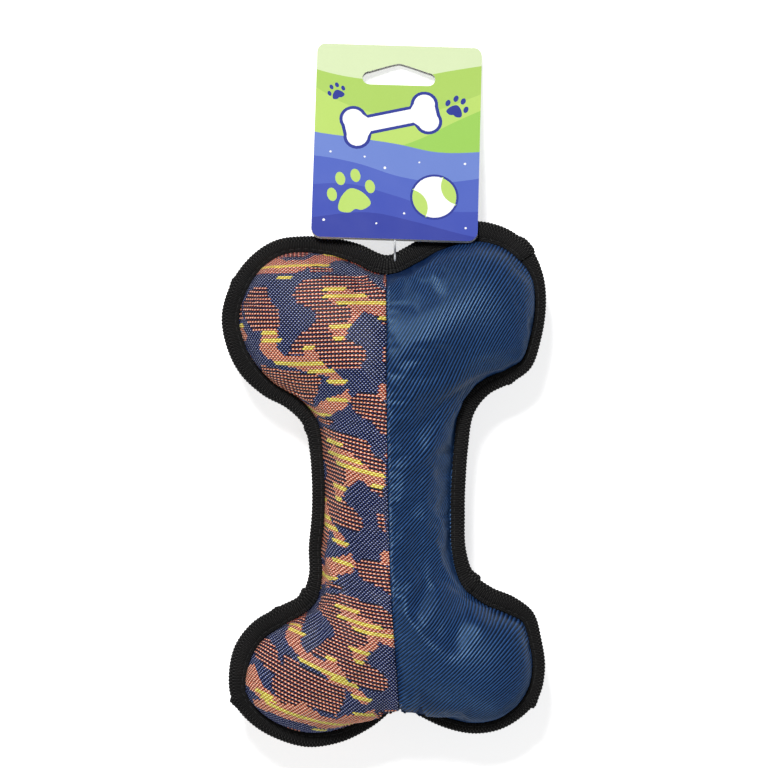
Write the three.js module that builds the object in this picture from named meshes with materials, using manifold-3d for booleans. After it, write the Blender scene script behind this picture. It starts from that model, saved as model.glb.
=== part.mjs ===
// Bone-shaped stuffed dog toy with a folded hang tag, lying on its back.
// Millimetres. +X is the right half of the toy, +Y points to the end with the tag, +Z is up.
import * as THREE from 'three';
import { mergeVertices } from 'three/addons/utils/BufferGeometryUtils.js';
import Module from 'manifold-3d';

// Toy body
const toyLength = 230;
const toyWidth = 142;
const frontRise = 27;
const backRise = 24;
const restCut = 0.5;
const clothThickness = 0.8;
const layerGap = 0.3;
const seamAllowance = 6;
const seamDip = 0.8;
const seamDipShare = 0.25;
const allowanceShare = 0.6;
const frontFullness = 1.25;
const backFullness = 2;
const backSettling = 1.15;
const fillingClearance = 0.5;
const notchOverhang = 7;
const notchOverhangSpread = 20;
const overhangStart = 4;
const overhangFull = 11;

// Edge tape, folded round the sewn edges
const tapeLeg = 8.8;
const tapeThickness = 1.1;
const tapeNose = 2;
const tapeNoseShares = [0.3, 0.7];
const tapeChannelShare = 1.2;
const tapeSetBack = 0.36;
const tapeLapShare = 0.7;

// Squeaker
const bulbRadius = 20;
const bulbHalfHeight = 10;
const bulbWall = 1;
const bulbLowering = 1.5;
const mouthRadius = 5.6;
const neckHeight = 2.4;
const plugFlange = 1.2;
const plugDepth = 8;
const reedBore = 3.2;
const reedSeatLength = 9;
const reedGroove = 1.6;
const reedWidth = 3.2;
const reedThickness = 0.4;
const reedLift = 0.6;

// Hang tag and its pin
const tagWidth = 72.6;
const tagLength = 91.4;
const tagCorner = 4.4;
const leafThickness = 0.45;
const leafGap = 1.5;
const tagFromPin = 9;
const tagYaw = THREE.MathUtils.degToRad(-1.7);
const tagSideOffset = -0.35;
const slotWidth = 32;
const slotEndHeight = 6.2;
const slotPeak = 4;
const slotFromFold = 19.2;
const pinDiameter = 0.9;
const pinAcross = 5;
const pinAlongShare = 0.848;
const pinHoleClearance = 0.3;
const pinBarLength = 10;
const pinBarDiameter = 1.8;
const pinBend = 1.6;
const paddleLength = 4.6;
const paddleWidth = 2.6;
const neckReach = 1.4;

// Resolution
const stationCount = 38;
const rowCount = 8;
const fillingInset = 2;
const samplesPerStation = 12;
const tangentShare = 0.25;
const solverTolerance = 1e-16;
const roundSides = 24;
const pinSides = 8;
const pinSteps = 14;
const foldSegments = 6;
const leanPasses = 40;
const weld = 0.001;
const overrun = 1;

// The outer edge of the tape, anticlockwise from the notch at the tag end. Each row is a share of half the
// width, a share of half the length and a share of the tape's leg that shows beside the cloth.
const outlineShares = [
  [0.022, 0.87, 1], [-0.145, 0.911, 1], [-0.317, 0.936, 0.95], [-0.495, 0.942, 0.84],
  [-0.662, 0.928, 0.86], [-0.822, 0.863, 0.87], [-0.938, 0.764, 0.92], [-0.995, 0.646, 0.92],
  [-0.966, 0.522, 0.95], [-0.877, 0.414, 0.95], [-0.742, 0.338, 0.86], [-0.594, 0.287, 0.8],
  [-0.495, 0.224, 0.74], [-0.455, 0.12, 0.68], [-0.44, -0.08, 0.68], [-0.46, -0.24, 0.68],
  [-0.46, -0.346, 0.72], [-0.508, -0.418, 0.86], [-0.655, -0.468, 0.98], [-0.809, -0.527, 1],
  [-0.912, -0.61, 1.02], [-0.953, -0.715, 0.92], [-0.936, -0.815, 0.82], [-0.84, -0.896, 0.8],
  [-0.68, -0.962, 0.78], [-0.465, -0.999, 0.78], [-0.255, -0.979, 0.68], [-0.083, -0.928, 0.6],
  [0.02, -0.878, 0.56], [0.104, -0.824, 0.54], [0.214, -0.878, 0.54], [0.378, -0.926, 0.56],
  [0.563, -0.948, 0.58], [0.735, -0.928, 0.6], [0.877, -0.871, 0.66], [0.963, -0.8, 0.72],
  [0.994, -0.7, 0.68], [0.975, -0.593, 0.66], [0.923, -0.487, 0.76], [0.809, -0.43, 0.94],
  [0.668, -0.392, 0.94], [0.557, -0.338, 0.84], [0.508, -0.25, 0.76], [0.5, -0.1, 0.75],
  [0.52, 0.13, 0.75], [0.557, 0.265, 0.78], [0.649, 0.34, 0.78], [0.791, 0.386, 0.74],
  [0.908, 0.442, 0.64], [0.972, 0.555, 0.6], [1, 0.688, 0.6], [0.978, 0.806, 0.66],
  [0.905, 0.9, 0.9], [0.766, 0.969, 1], [0.594, 0.999, 1.05], [0.428, 0.989, 1.08],
  [0.274, 0.951, 1.05], [0.132, 0.899, 1],
];
const farNotchRow = 29;
const leftWaistRows = [13, 15];
const rightWaistRows = [45, 42];
const tapeJoinStation = 9;
const seamShares = [[0.025, 0.091], [0.049, -0.441]];
const bulbProfileShares = [
  [0.5, -1], [0.84, -0.74], [1, -0.2], [1, 0.2], [0.84, 0.7], [0.5, 0.96],
];

const wasm = await Module();
wasm.setup();

const foldHalf = leafGap / 2 + leafThickness;
const flangeBottom = layerGap / 2;
const flangeTop = flangeBottom + clothThickness;
const tapeInner = flangeTop + layerGap;
const tapeOuter = tapeInner + tapeThickness;
const tapeChannel = tapeThickness * tapeChannelShare;
const seamPlane = backRise + flangeTop - restCut;

// The pin goes through the tape near the notch, so it and the tag keep their places on a longer toy.
const pinAlong = (pinAlongShare * toyLength) / 2;
const tagNearEdge = pinAlong + tagFromPin;

const edgeCurve = new THREE.CatmullRomCurve3(
  outlineShares.map(([across, along, leg]) => new THREE.Vector3(
    (across * toyWidth) / 2, (along * toyLength) / 2, leg * tapeLeg)),
  true, 'centripetal');

// A place on the tape's outer edge: its point, the direction into the toy and the leg that shows there.
function edgeAt(t) {
  const span = tangentShare / outlineShares.length;
  const point = edgeCurve.getPoint(THREE.MathUtils.euclideanModulo(t, 1));
  const before = edgeCurve.getPoint(THREE.MathUtils.euclideanModulo(t - span, 1));
  const after = edgeCurve.getPoint(THREE.MathUtils.euclideanModulo(t + span, 1));
  const inward = new THREE.Vector2(before.y - after.y, after.x - before.x).normalize();
  return { edge: new THREE.Vector2(point.x, point.y), inward, leg: point.z };
}

// A place on the straight run between two stations.
function edgeBetween(one, other, share) {
  return {
    edge: one.edge.clone().lerp(other.edge, share),
    inward: one.inward.clone().lerp(other.inward, share).normalize(),
    leg: THREE.MathUtils.lerp(one.leg, other.leg, share),
  };
}

function inFrom(station, depth) {
  return station.edge.clone().addScaledVector(station.inward, depth);
}

const sewnPoint = (station) => inFrom(station, station.leg);

// Curve parameters at equal lengths along the edge from one parameter to another.
function spacedParameters(from, to, count) {
  const fine = count * samplesPerStation;
  const lengths = [0];
  let last = edgeAt(from).edge;
  for (let k = 1; k <= fine; k += 1) {
    const next = edgeAt(from + ((to - from) * k) / fine).edge;
    lengths.push(lengths[k - 1] + next.distanceTo(last));
    last = next;
  }
  const parameters = [];
  let k = 0;
  for (let i = 0; i <= count; i += 1) {
    const target = (lengths[fine] * i) / count;
    while (k < fine - 1 && lengths[k + 1] < target) k += 1;
    const within = (target - lengths[k]) / (lengths[k + 1] - lengths[k]);
    parameters.push(from + ((to - from) * (k + within)) / fine);
  }
  return parameters;
}

const rowParameter = (row) => row / outlineShares.length;
const nearNotch = sewnPoint(edgeAt(0));
const farNotch = sewnPoint(edgeAt(rowParameter(farNotchRow)));
const seamCurve = new THREE.CatmullRomCurve3([
  new THREE.Vector3(nearNotch.x, nearNotch.y, 0),
  ...seamShares.map(([across, along]) => new THREE.Vector3((across * toyWidth) / 2, (along * toyLength) / 2, 0)),
  new THREE.Vector3(farNotch.x, farNotch.y, 0),
]);

// Where each station's line meets the centre seam, as a share of the seam, so that the lines lie level in
// the waist and fan out evenly in the lobes.
function seamShareOf(index, parameters, waistRows) {
  const knots = [[0, 0], ...waistRows.map((row) => {
    const t = rowParameter(row);
    const reached = (p) => Math.abs(p - parameters[0]) >= Math.abs(t - parameters[0]);
    return [parameters.findIndex(reached), (nearNotch.y - edgeAt(t).edge.y) / (nearNotch.y - farNotch.y)];
  }), [stationCount, 1]];
  const upper = Math.max(1, knots.findIndex(([station]) => station >= index));
  const [i0, s0] = knots[upper - 1];
  const [i1, s1] = knots[upper];
  return s0 + ((s1 - s0) * (index - i0)) / (i1 - i0);
}

const farParameter = rowParameter(farNotchRow);
const leftParameters = spacedParameters(0, farParameter, stationCount);
const rightParameters = spacedParameters(1, farParameter, stationCount);

// One half of the toy in plan: stations along its sewn edge, each joined to the centre seam by a line of
// rows that close up towards the edge, where the cloth is steepest. Both halves share the seam's points.
function halfPlan(parameters) {
  const stations = parameters.map(edgeAt);
  const rows = stations.map((station, i) => {
    const leftShare = seamShareOf(i, leftParameters, leftWaistRows);
    const rightShare = seamShareOf(i, rightParameters, rightWaistRows);
    const seam = seamCurve.getPointAt((leftShare + rightShare) / 2);
    const rim = sewnPoint(station);
    return Array.from({ length: rowCount + 1 }, (_, j) => new THREE.Vector2(seam.x, seam.y)
      .lerp(rim, Math.sin((Math.PI / 2) * (j / rowCount))));
  });
  return { stations, rows };
}

const halves = { left: halfPlan(leftParameters), right: halfPlan(rightParameters) };

// How far each place swells, from 0 at the sewn edge to 1 at the fullest place: the square root of an
// evenly loaded membrane over the sewn outline, solved with linear elements and conjugate gradients.
function membrane() {
  const width = rowCount + 1;
  const id = (side, i, j) => (j === 0 ? i : (stationCount + 1) * (1 + (side === 'left' ? 0 : rowCount) + j - 1) + i);
  const total = (stationCount + 1) * (1 + 2 * rowCount);
  const place = new Array(total);
  const free = new Array(total).fill(false);
  const triangles = [];
  for (const side of ['left', 'right']) {
    halves[side].rows.forEach((row, i) => row.forEach((p, j) => {
      place[id(side, i, j)] = p;
      free[id(side, i, j)] = i > 0 && i < stationCount && j < rowCount;
    }));
    for (let i = 0; i < stationCount; i += 1) {
      for (let j = 0; j < width - 1; j += 1) {
        const corners = [id(side, i, j), id(side, i + 1, j), id(side, i + 1, j + 1), id(side, i, j + 1)];
        triangles.push([corners[0], corners[1], corners[2]], [corners[0], corners[2], corners[3]]);
      }
    }
  }
  const load = new Float64Array(total);
  const stiffness = [];
  for (const corner of triangles) {
    const [a, b, c] = corner.map((k) => place[k]);
    const double = Math.abs((b.x - a.x) * (c.y - a.y) - (c.x - a.x) * (b.y - a.y));
    if (double > 0) {
      const opposite = [c.clone().sub(b), a.clone().sub(c), b.clone().sub(a)];
      corner.forEach((row, m) => {
        load[row] += double / 6;
        corner.forEach((column, n) => {
          stiffness.push([row, column, opposite[m].dot(opposite[n]) / (2 * double)]);
        });
      });
    }
  }
  const apply = (x) => {
    const y = new Float64Array(total);
    for (const [row, column, value] of stiffness) {
      if (free[row] && free[column]) y[row] += value * x[column];
    }
    return y;
  };
  const dot = (x, y) => x.reduce((sum, value, k) => sum + value * y[k], 0);
  const u = new Float64Array(total);
  let residual = load.map((value, k) => (free[k] ? value : 0));
  let direction = residual.slice();
  let size = dot(residual, residual);
  const target = size * solverTolerance;
  while (size > target) {
    const image = apply(direction);
    const step = size / dot(direction, image);
    direction.forEach((value, k) => {
      u[k] += step * value;
    });
    residual = residual.map((value, k) => value - step * image[k]);
    const next = dot(residual, residual);
    direction = residual.map((value, k) => value + (next / size) * direction[k]);
    size = next;
  }
  const most = Math.max(...u.filter((_, k) => k > stationCount));
  return (side, i, j) => Math.sqrt(THREE.MathUtils.clamp(u[id(side, i, j)] / most, 0, 1));
}

const swell = membrane();

// Cloth rises over the tape at the far notch, where the filling pushes it out past the sewn edge.
function overhang(point, height) {
  const away = point.distanceTo(farNotch) / notchOverhangSpread;
  const lift = THREE.MathUtils.smoothstep(height, overhangStart, overhangFull);
  return notchOverhang * Math.exp(-away * away) * lift;
}

// Stuffing fills a face out past the bare membrane, so that its sides are steeper and its crown is broader.
function filled(share, fullness) {
  return 1 - (1 - Math.min(1, share)) ** fullness;
}

// The outer face of one panel, as points over the seam plane, with its heights all positive. The back,
// which the toy lies on, settles until both ends and the waist rest, and is cut flat there.
function outerFace(side, face) {
  const rise = face > 0 ? frontRise : backRise;
  const floor = face > 0 ? frontRise : backRise - restCut;
  return halves[side].rows.map((row, i) => row.map((p, j) => {
    const share = swell(side, i, j);
    const front = filled(share, frontFullness);
    const back = filled(share * backSettling, backFullness);
    const swollen = rise * (face > 0 ? front : back);
    const dip = j === 0 ? Math.min(seamDip, swollen * seamDipShare) : 0;
    const height = Math.min(swollen - dip, floor) + flangeTop;
    return new THREE.Vector3(p.x, p.y - overhang(p, height), height);
  }));
}

// How deep the turned-in seam allowance hangs from a seam at some height over the seam plane.
function allowanceDepth(height) {
  return Math.min(seamAllowance, height * allowanceShare);
}

// Unit normals of a grid of points, pointing up and out.
function gridNormals(grid, outward) {
  return grid.map((row, i) => row.map((p, j) => {
    const alongSeam = grid[Math.min(i + 1, grid.length - 1)][j].clone().sub(grid[Math.max(i - 1, 0)][j]);
    const toRim = row[Math.min(j + 1, row.length - 1)].clone().sub(row[Math.max(j - 1, 0)]);
    const normal = alongSeam.cross(toRim).normalize().multiplyScalar(outward);
    return normal;
  }));
}

// The same face moved in by a depth, held over the seam plane and off the floor.
function innerFace(side, outer, depth, base) {
  const ceiling = Math.max(...outer.flat().map((p) => p.z)) - depth;
  const normals = gridNormals(outer, side === 'left' ? -1 : 1);
  return outer.map((row, i) => row.map((p, j) => {
    const tip = i === 0 || i === stationCount;
    if (tip) return new THREE.Vector3(p.x, p.y, base);
    if (j === rowCount) {
      const inward = halves[side].stations[i].inward;
      return new THREE.Vector3(p.x + inward.x * depth, p.y + inward.y * depth, base);
    }
    const moved = p.clone().addScaledVector(normals[i][j], -depth);
    if (j === 0) moved.set(p.x, p.y, p.z - depth);
    moved.z = Math.min(Math.max(moved.z, base), ceiling);
    return moved;
  }));
}

// A closed body from rings of points: walls between rings and, where a ring has area, a cap.
function ringSolid(rings, capPairs) {
  const points = rings.flat();
  const size = rings[0].length;
  const faces = [];
  for (let i = 0; i < rings.length - 1; i += 1) {
    for (let k = 0; k < size; k += 1) {
      const next = (k + 1) % size;
      const [a, b] = [i * size + k, i * size + next];
      const [c, d] = [a + size, b + size];
      faces.push([a, b, d], [a, d, c]);
    }
  }
  for (const [start, flip] of [[0, false], [(rings.length - 1) * size, true]]) {
    for (const quad of capPairs) {
      const [a, b, c, d] = quad.map((k) => start + k);
      const pair = [[a, c, b], [a, d, c]];
      faces.push(...(flip ? pair.map((face) => [...face].reverse()) : pair));
    }
  }
  const geometry = new THREE.BufferGeometry();
  geometry.setAttribute('position', new THREE.Float32BufferAttribute(points.flatMap((p) => [p.x, p.y, p.z]), 3));
  geometry.setIndex(faces.flat());
  const merged = mergeVertices(geometry, weld);
  const index = merged.getIndex().array;
  const kept = [];
  for (let k = 0; k < index.length; k += 3) {
    const [a, b, c] = [index[k], index[k + 1], index[k + 2]];
    if (a !== b && b !== c && c !== a) kept.push(a, b, c);
  }
  merged.setIndex(kept);
  return facingOut(merged);
}

function signedVolume(geometry) {
  const position = geometry.getAttribute('position');
  const index = geometry.getIndex().array;
  const [a, b, c] = [new THREE.Vector3(), new THREE.Vector3(), new THREE.Vector3()];
  let volume = 0;
  for (let k = 0; k < index.length; k += 3) {
    a.fromBufferAttribute(position, index[k]);
    b.fromBufferAttribute(position, index[k + 1]);
    c.fromBufferAttribute(position, index[k + 2]);
    volume += a.dot(b.clone().cross(c)) / 6;
  }
  return volume;
}

function facingOut(geometry) {
  if (signedVolume(geometry) < 0) {
    const index = geometry.getIndex();
    for (let k = 0; k < index.count; k += 3) {
      const first = index.getX(k);
      index.setX(k, index.getX(k + 2));
      index.setX(k + 2, first);
    }
  }
  return geometry;
}

// Only positions count in a solid, so its other attributes go and shared corners merge.
function plain(geometry) {
  const bare = geometry.clone();
  bare.deleteAttribute('normal');
  bare.deleteAttribute('uv');
  return facingOut(mergeVertices(bare, weld));
}

function toManifold(geometry) {
  const solid = plain(geometry);
  return new wasm.Manifold(new wasm.Mesh({
    numProp: 3,
    vertProperties: new Float32Array(solid.getAttribute('position').array),
    triVerts: new Uint32Array(solid.getIndex().array),
  }));
}

function fromManifold(manifold) {
  const mesh = manifold.getMesh();
  const geometry = new THREE.BufferGeometry();
  geometry.setAttribute('position', new THREE.BufferAttribute(mesh.vertProperties, 3));
  geometry.setIndex(new THREE.BufferAttribute(mesh.triVerts, 1));
  return geometry;
}

function cut(geometry, ...tools) {
  return fromManifold(tools.reduce((body, tool) => body.subtract(toManifold(tool)), toManifold(geometry)));
}

function join(geometry, ...others) {
  return fromManifold(others.reduce((body, other) => body.add(toManifold(other)), toManifold(geometry)));
}

// Turns a body built over the seam plane into the front or back of the toy, in its place.
function onSide(points, face) {
  return points.map((ring) => ring.map((p) => new THREE.Vector3(p.x, p.y, seamPlane + face * p.z)));
}

// One cloth panel: its outer face, its lining face, the allowance turned in at the centre seam and the
// flange that the tape holds.
function panel(side, face) {
  const toSeam = side === 'left' ? -1 : 1;
  const outer = outerFace(side, face);
  const inner = innerFace(side, outer, clothThickness, flangeBottom);
  const rings = outer.map((row, i) => {
    const station = halves[side].stations[i];
    const rim = inFrom(station, tapeChannel + layerGap);
    const tip = i === 0 || i === stationCount;
    const top = row[0];
    const flap = tip ? flangeBottom : top.z - allowanceDepth(top.z);
    const lining = tip ? 0 : toSeam * clothThickness;
    const innerRow = inner[i].map((p, j) => (j === 0 ? p.clone().setX(p.x + lining) : p));
    return [
      new THREE.Vector3(top.x, top.y, flap),
      ...row,
      new THREE.Vector3(rim.x, rim.y, flangeTop),
      new THREE.Vector3(rim.x, rim.y, flangeBottom),
      ...innerRow.reverse(),
      new THREE.Vector3(top.x + lining, top.y, flap),
    ].map((p) => p.setX(p.x + (toSeam * layerGap) / 2));
  });
  const tipQuad = [rowCount + 1, rowCount + 2, rowCount + 3, rowCount + 4];
  return ringSolid(onSide(rings, face), [tipQuad]);
}

// The filling behind one face of the toy, grooved for the seam allowances and drawn to a point at the
// notches.
function filling(face) {
  const depth = clothThickness + fillingClearance;
  const grooveHalf = layerGap / 2 + clothThickness + fillingClearance;
  const faces = {};
  for (const side of ['left', 'right']) {
    const outer = outerFace(side, face);
    faces[side] = { outer, inner: innerFace(side, outer, depth, flangeBottom) };
  }
  const rings = [];
  for (let i = fillingInset; i <= stationCount - fillingInset; i += 1) {
    const tip = i === fillingInset || i === stationCount - fillingInset;
    const seam = faces.left.outer[i][0];
    const bottom = seam.z - allowanceDepth(seam.z) - fillingClearance;
    const plan = halves.left.rows[i][0];
    const base = new THREE.Vector3(plan.x, plan.y, flangeBottom);
    const chain = (side) => {
      const toSeam = side === 'left' ? -1 : 1;
      const wall = seam.x + toSeam * grooveHalf;
      const lining = faces[side].inner[i];
      const lip = Math.max(bottom, Math.min(lining[0].z, lining[1].z));
      return [
        new THREE.Vector3(wall, seam.y, bottom),
        new THREE.Vector3(wall, seam.y, lip),
        ...lining.slice(1),
      ];
    };
    const ring = [...chain('right').reverse(), ...chain('left'), base];
    rings.push(tip ? ring.map(() => base) : ring);
  }
  return ringSolid(onSide(rings, face), []);
}

// The tape's folded section at one place. Swelling carries the end of the tape over its own start.
function tapeSection(station, swelling) {
  const spread = swelling * (tapeThickness + layerGap);
  const inner = tapeInner + spread;
  const outer = tapeOuter + spread;
  const legEnd = station.leg - tapeSetBack;
  const channel = tapeChannel - spread;
  const [cornerIn, cornerUp] = [tapeNose * tapeNoseShares[0] - spread, outer * tapeNoseShares[1]];
  const section = [
    [legEnd, outer], [tapeNose - spread, outer], [cornerIn, cornerUp], [-spread, 0],
    [cornerIn, -cornerUp], [tapeNose - spread, -outer], [legEnd, -outer],
    [legEnd, -inner], [channel, -inner], [channel, inner], [legEnd, inner],
  ];
  return section.map(([depth, height]) => {
    const p = inFrom(station, depth);
    return new THREE.Vector3(p.x, p.y, seamPlane + height);
  });
}

// The tape runs once round the toy, from a join on the right-hand lobe to one station past it.
function edgeTape() {
  const around = [...halves.left.stations, ...halves.right.stations.slice(1, -1).reverse()];
  const start = around.length - tapeJoinStation;
  const ordered = [...around.slice(start), ...around.slice(0, start)];
  const lift = edgeBetween(ordered[ordered.length - 1], ordered[0], tapeLapShare);
  const lap = edgeBetween(ordered[0], ordered[1], tapeLapShare);
  const rings = [
    ...ordered.map((station) => tapeSection(station, 0)),
    tapeSection(lift, 1), tapeSection(ordered[0], 1), tapeSection(lap, 1),
  ];
  const capPairs = [[0, 1, 9, 10], [1, 2, 8, 9], [2, 3, 4, 8], [4, 5, 7, 8], [5, 6, 7, 7]];
  return ringSolid(rings, capPairs);
}

// Solids of revolution are built round +Z.
function revolve(profile, sides) {
  return new THREE.LatheGeometry(profile.map(([r, z]) => new THREE.Vector2(r, z)), sides).rotateX(Math.PI / 2);
}

const bulbCentre = seamPlane - bulbLowering;
const neckTop = bulbHalfHeight + neckHeight;

// A lens-shaped squeaker bulb outline, grown outwards by a clearance, from its base to its neck.
function bulbOutline(grown) {
  const body = bulbProfileShares.map(([r, z]) => [
    r * (bulbRadius + grown), z * (bulbHalfHeight + grown)]);
  return [[0, -bulbHalfHeight - grown], ...body];
}

function squeakerBulb() {
  const outside = bulbOutline(0);
  const inside = bulbOutline(-bulbWall).reverse();
  const rim = mouthRadius + bulbWall;
  const profile = [
    ...outside, [rim, bulbHalfHeight], [rim, neckTop], [mouthRadius, neckTop],
    [mouthRadius, bulbHalfHeight - bulbWall], ...inside,
  ];
  return revolve(profile, roundSides).translate(0, 0, bulbCentre);
}

function squeakerPlug() {
  const stem = mouthRadius - layerGap;
  const rim = mouthRadius + bulbWall;
  const seat = neckTop + layerGap;
  const profile = [
    [reedBore, seat + plugFlange], [reedBore, seat - plugDepth], [stem, seat - plugDepth], [stem, seat],
    [rim, seat], [rim, seat + plugFlange], [reedBore, seat + plugFlange],
  ];
  return revolve(profile, roundSides).translate(0, 0, bulbCentre);
}

// A half-round seat in the plug's bore, with the air groove that the reed closes.
function reedSeat() {
  const radius = reedBore - layerGap;
  const shape = new THREE.Shape();
  shape.moveTo(reedGroove / 2, 0);
  shape.lineTo(radius, 0);
  shape.absarc(0, 0, radius, 0, Math.PI, false);
  shape.lineTo(-reedGroove / 2, 0);
  shape.lineTo(-reedGroove / 2, radius / 2);
  shape.lineTo(reedGroove / 2, radius / 2);
  shape.closePath();
  const body = new THREE.ExtrudeGeometry(shape, {
    depth: reedSeatLength, bevelEnabled: false, curveSegments: roundSides / 3,
  });
  return body.translate(0, 0, bulbCentre + neckTop - reedSeatLength);
}

// A thin strip under the seat, sprung away from it towards its free end.
function squeakerReed() {
  const length = reedSeatLength;
  const strip = new THREE.Shape([
    new THREE.Vector2(0, -layerGap), new THREE.Vector2(length / 2, -layerGap - reedLift / 4),
    new THREE.Vector2(length, -layerGap - reedLift),
    new THREE.Vector2(length, -layerGap - reedLift - reedThickness),
    new THREE.Vector2(length / 2, -layerGap - reedLift / 4 - reedThickness),
    new THREE.Vector2(0, -layerGap - reedThickness),
  ]);
  const body = new THREE.ExtrudeGeometry(strip, { depth: reedWidth, bevelEnabled: false });
  body.rotateY(Math.PI / 2);
  body.translate(-reedWidth / 2, 0, bulbCentre + neckTop);
  return body;
}

// The pocket that the filling leaves for the squeaker.
function squeakerPocket() {
  const rim = mouthRadius + bulbWall + layerGap;
  const top = neckTop + layerGap + plugFlange + layerGap;
  const profile = [
    ...bulbOutline(layerGap), [rim, bulbHalfHeight + layerGap], [rim, top], [0, top],
  ];
  return revolve(profile, roundSides).translate(0, 0, bulbCentre);
}

// The tag leans from the tape of the right-hand lobe, a clearance over it, down to the floor.
const lobeTop = Math.max(...outlineShares.map(([, along]) => along)) * (toyLength / 2) - tapeNose;
const overTape = seamPlane + tapeOuter + 2 * layerGap;
const foldReach = tagLength - foldHalf;
let tagLean = 0;
for (let k = 0; k < leanPasses; k += 1) {
  const foldAlong = tagNearEdge + foldReach * Math.cos(tagLean);
  const climb = overTape + foldHalf / Math.cos(tagLean) - foldHalf;
  tagLean = Math.atan(climb / (foldAlong - lobeTop));
}
const tagHinge = new THREE.Vector3(pinAcross, tagNearEdge, foldHalf + foldReach * Math.sin(tagLean));

function roundedOutline(width, length, corner) {
  const shape = new THREE.Shape();
  shape.moveTo(corner - width / 2, 0);
  shape.lineTo(width / 2 - corner, 0);
  shape.absarc(width / 2 - corner, corner, corner, -Math.PI / 2, 0, false);
  shape.lineTo(width / 2, length - corner);
  shape.absarc(width / 2 - corner, length - corner, corner, 0, Math.PI / 2, false);
  shape.lineTo(corner - width / 2, length);
  shape.absarc(corner - width / 2, length - corner, corner, Math.PI / 2, Math.PI, false);
  shape.lineTo(-width / 2, corner);
  shape.absarc(corner - width / 2, corner, corner, Math.PI, (Math.PI * 3) / 2, false);
  return shape;
}

// The peg slot: straight below, round at both ends, with a low gable above.
function slotOutline() {
  const end = slotEndHeight / 2;
  const arm = slotWidth / 2 - end;
  const shape = new THREE.Shape();
  shape.moveTo(-arm, -end);
  shape.lineTo(arm, -end);
  shape.absarc(arm, 0, end, -Math.PI / 2, Math.PI / 2, false);
  shape.quadraticCurveTo(arm / 8, end + slotPeak, 0, end + slotPeak);
  shape.quadraticCurveTo(-arm / 8, end + slotPeak, -arm, end);
  shape.absarc(-arm, 0, end, Math.PI / 2, (Math.PI * 3) / 2, false);
  return shape;
}

// One card folded at its far edge, so that two leaves lie a gap apart.
function hangTag() {
  const hairpin = new THREE.Shape();
  const inner = leafGap / 2;
  hairpin.moveTo(0, inner);
  hairpin.lineTo(foldReach, inner);
  hairpin.absarc(foldReach, 0, inner, Math.PI / 2, -Math.PI / 2, true);
  hairpin.lineTo(0, -inner);
  hairpin.lineTo(0, -foldHalf);
  hairpin.lineTo(foldReach, -foldHalf);
  hairpin.absarc(foldReach, 0, foldHalf, -Math.PI / 2, Math.PI / 2, false);
  hairpin.lineTo(0, foldHalf);
  hairpin.closePath();
  const card = new THREE.ExtrudeGeometry(hairpin, {
    depth: tagWidth + 2 * overrun, bevelEnabled: false, curveSegments: foldSegments,
  });
  card.applyMatrix4(new THREE.Matrix4().set(0, 0, 1, 0, 1, 0, 0, 0, 0, 1, 0, 0, 0, 0, 0, 1));
  card.translate(-tagWidth / 2 - overrun, 0, 0);
  const through = { depth: 2 * (foldHalf + overrun), bevelEnabled: false, curveSegments: foldSegments };
  const outline = new THREE.ExtrudeGeometry(roundedOutline(tagWidth, tagLength, tagCorner), through);
  outline.translate(0, 0, -foldHalf - overrun);
  const slot = new THREE.ExtrudeGeometry(slotOutline(), through);
  slot.translate(0, tagLength - slotFromFold + slotEndHeight / 2, -foldHalf - overrun);
  return fromManifold(toManifold(card).intersect(toManifold(outline)).subtract(toManifold(slot)));
}

// A round bar along X.
function crossBar(diameter, length) {
  return new THREE.CylinderGeometry(diameter / 2, diameter / 2, length, pinSides).rotateZ(Math.PI / 2);
}

function filament(path, steps) {
  const section = new THREE.Shape();
  section.absarc(0, 0, pinDiameter / 2, 0, Math.PI * 2, false);
  return new THREE.ExtrudeGeometry(section, {
    steps, curveSegments: pinSides, bevelEnabled: false, extrudePath: path,
  });
}

// The pin's bar lies behind the tape. Its filament passes through the tape and rises to the tag's mouth.
function pinBar() {
  const under = seamPlane - tapeOuter - layerGap - pinBarDiameter / 2;
  const over = seamPlane + tapeOuter + layerGap + pinDiameter / 2;
  const mouth = new THREE.Vector2(Math.cos(tagLean), Math.sin(tagLean)).multiplyScalar(neckReach + layerGap);
  const end = new THREE.Vector3(pinAcross, tagHinge.y - mouth.x, tagHinge.z + mouth.y);
  const path = new THREE.CatmullRomCurve3([
    new THREE.Vector3(pinAcross, pinAlong, under),
    new THREE.Vector3(pinAcross, pinAlong, seamPlane),
    new THREE.Vector3(pinAcross, pinAlong, over - pinDiameter),
    new THREE.Vector3(pinAcross, pinAlong + pinBend / 2, over),
    new THREE.Vector3(pinAcross, pinAlong + pinBend * 2, over + pinDiameter / 2),
    new THREE.Vector3(pinAcross, end.y - pinBend, end.z - pinDiameter / 3),
    end,
  ], false, 'centripetal');
  const bar = crossBar(pinBarDiameter, pinBarLength).translate(pinAcross, pinAlong, under);
  return join(filament(path, pinSteps), bar);
}

// The pin's flat paddle lies between the leaves, with the end of the filament reaching out of them.
function pinPaddle() {
  const inset = 2 * layerGap;
  const shape = new THREE.Shape();
  shape.moveTo(-pinDiameter / 2, inset);
  shape.lineTo(pinDiameter / 2, inset);
  shape.lineTo(paddleWidth / 2, inset + paddleWidth / 2);
  shape.lineTo(paddleWidth / 2, inset + paddleLength);
  shape.lineTo(-paddleWidth / 2, inset + paddleLength);
  shape.lineTo(-paddleWidth / 2, inset + paddleWidth / 2);
  shape.closePath();
  const plate = new THREE.ExtrudeGeometry(shape, { depth: pinDiameter, bevelEnabled: false });
  plate.translate(0, 0, -pinDiameter / 2);
  const neckLength = neckReach + paddleWidth / 2;
  const neck = new THREE.CylinderGeometry(pinDiameter / 2, pinDiameter / 2, neckLength, pinSides);
  neck.translate(0, neckLength / 2 - neckReach, 0);
  return join(plate, neck);
}

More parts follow.
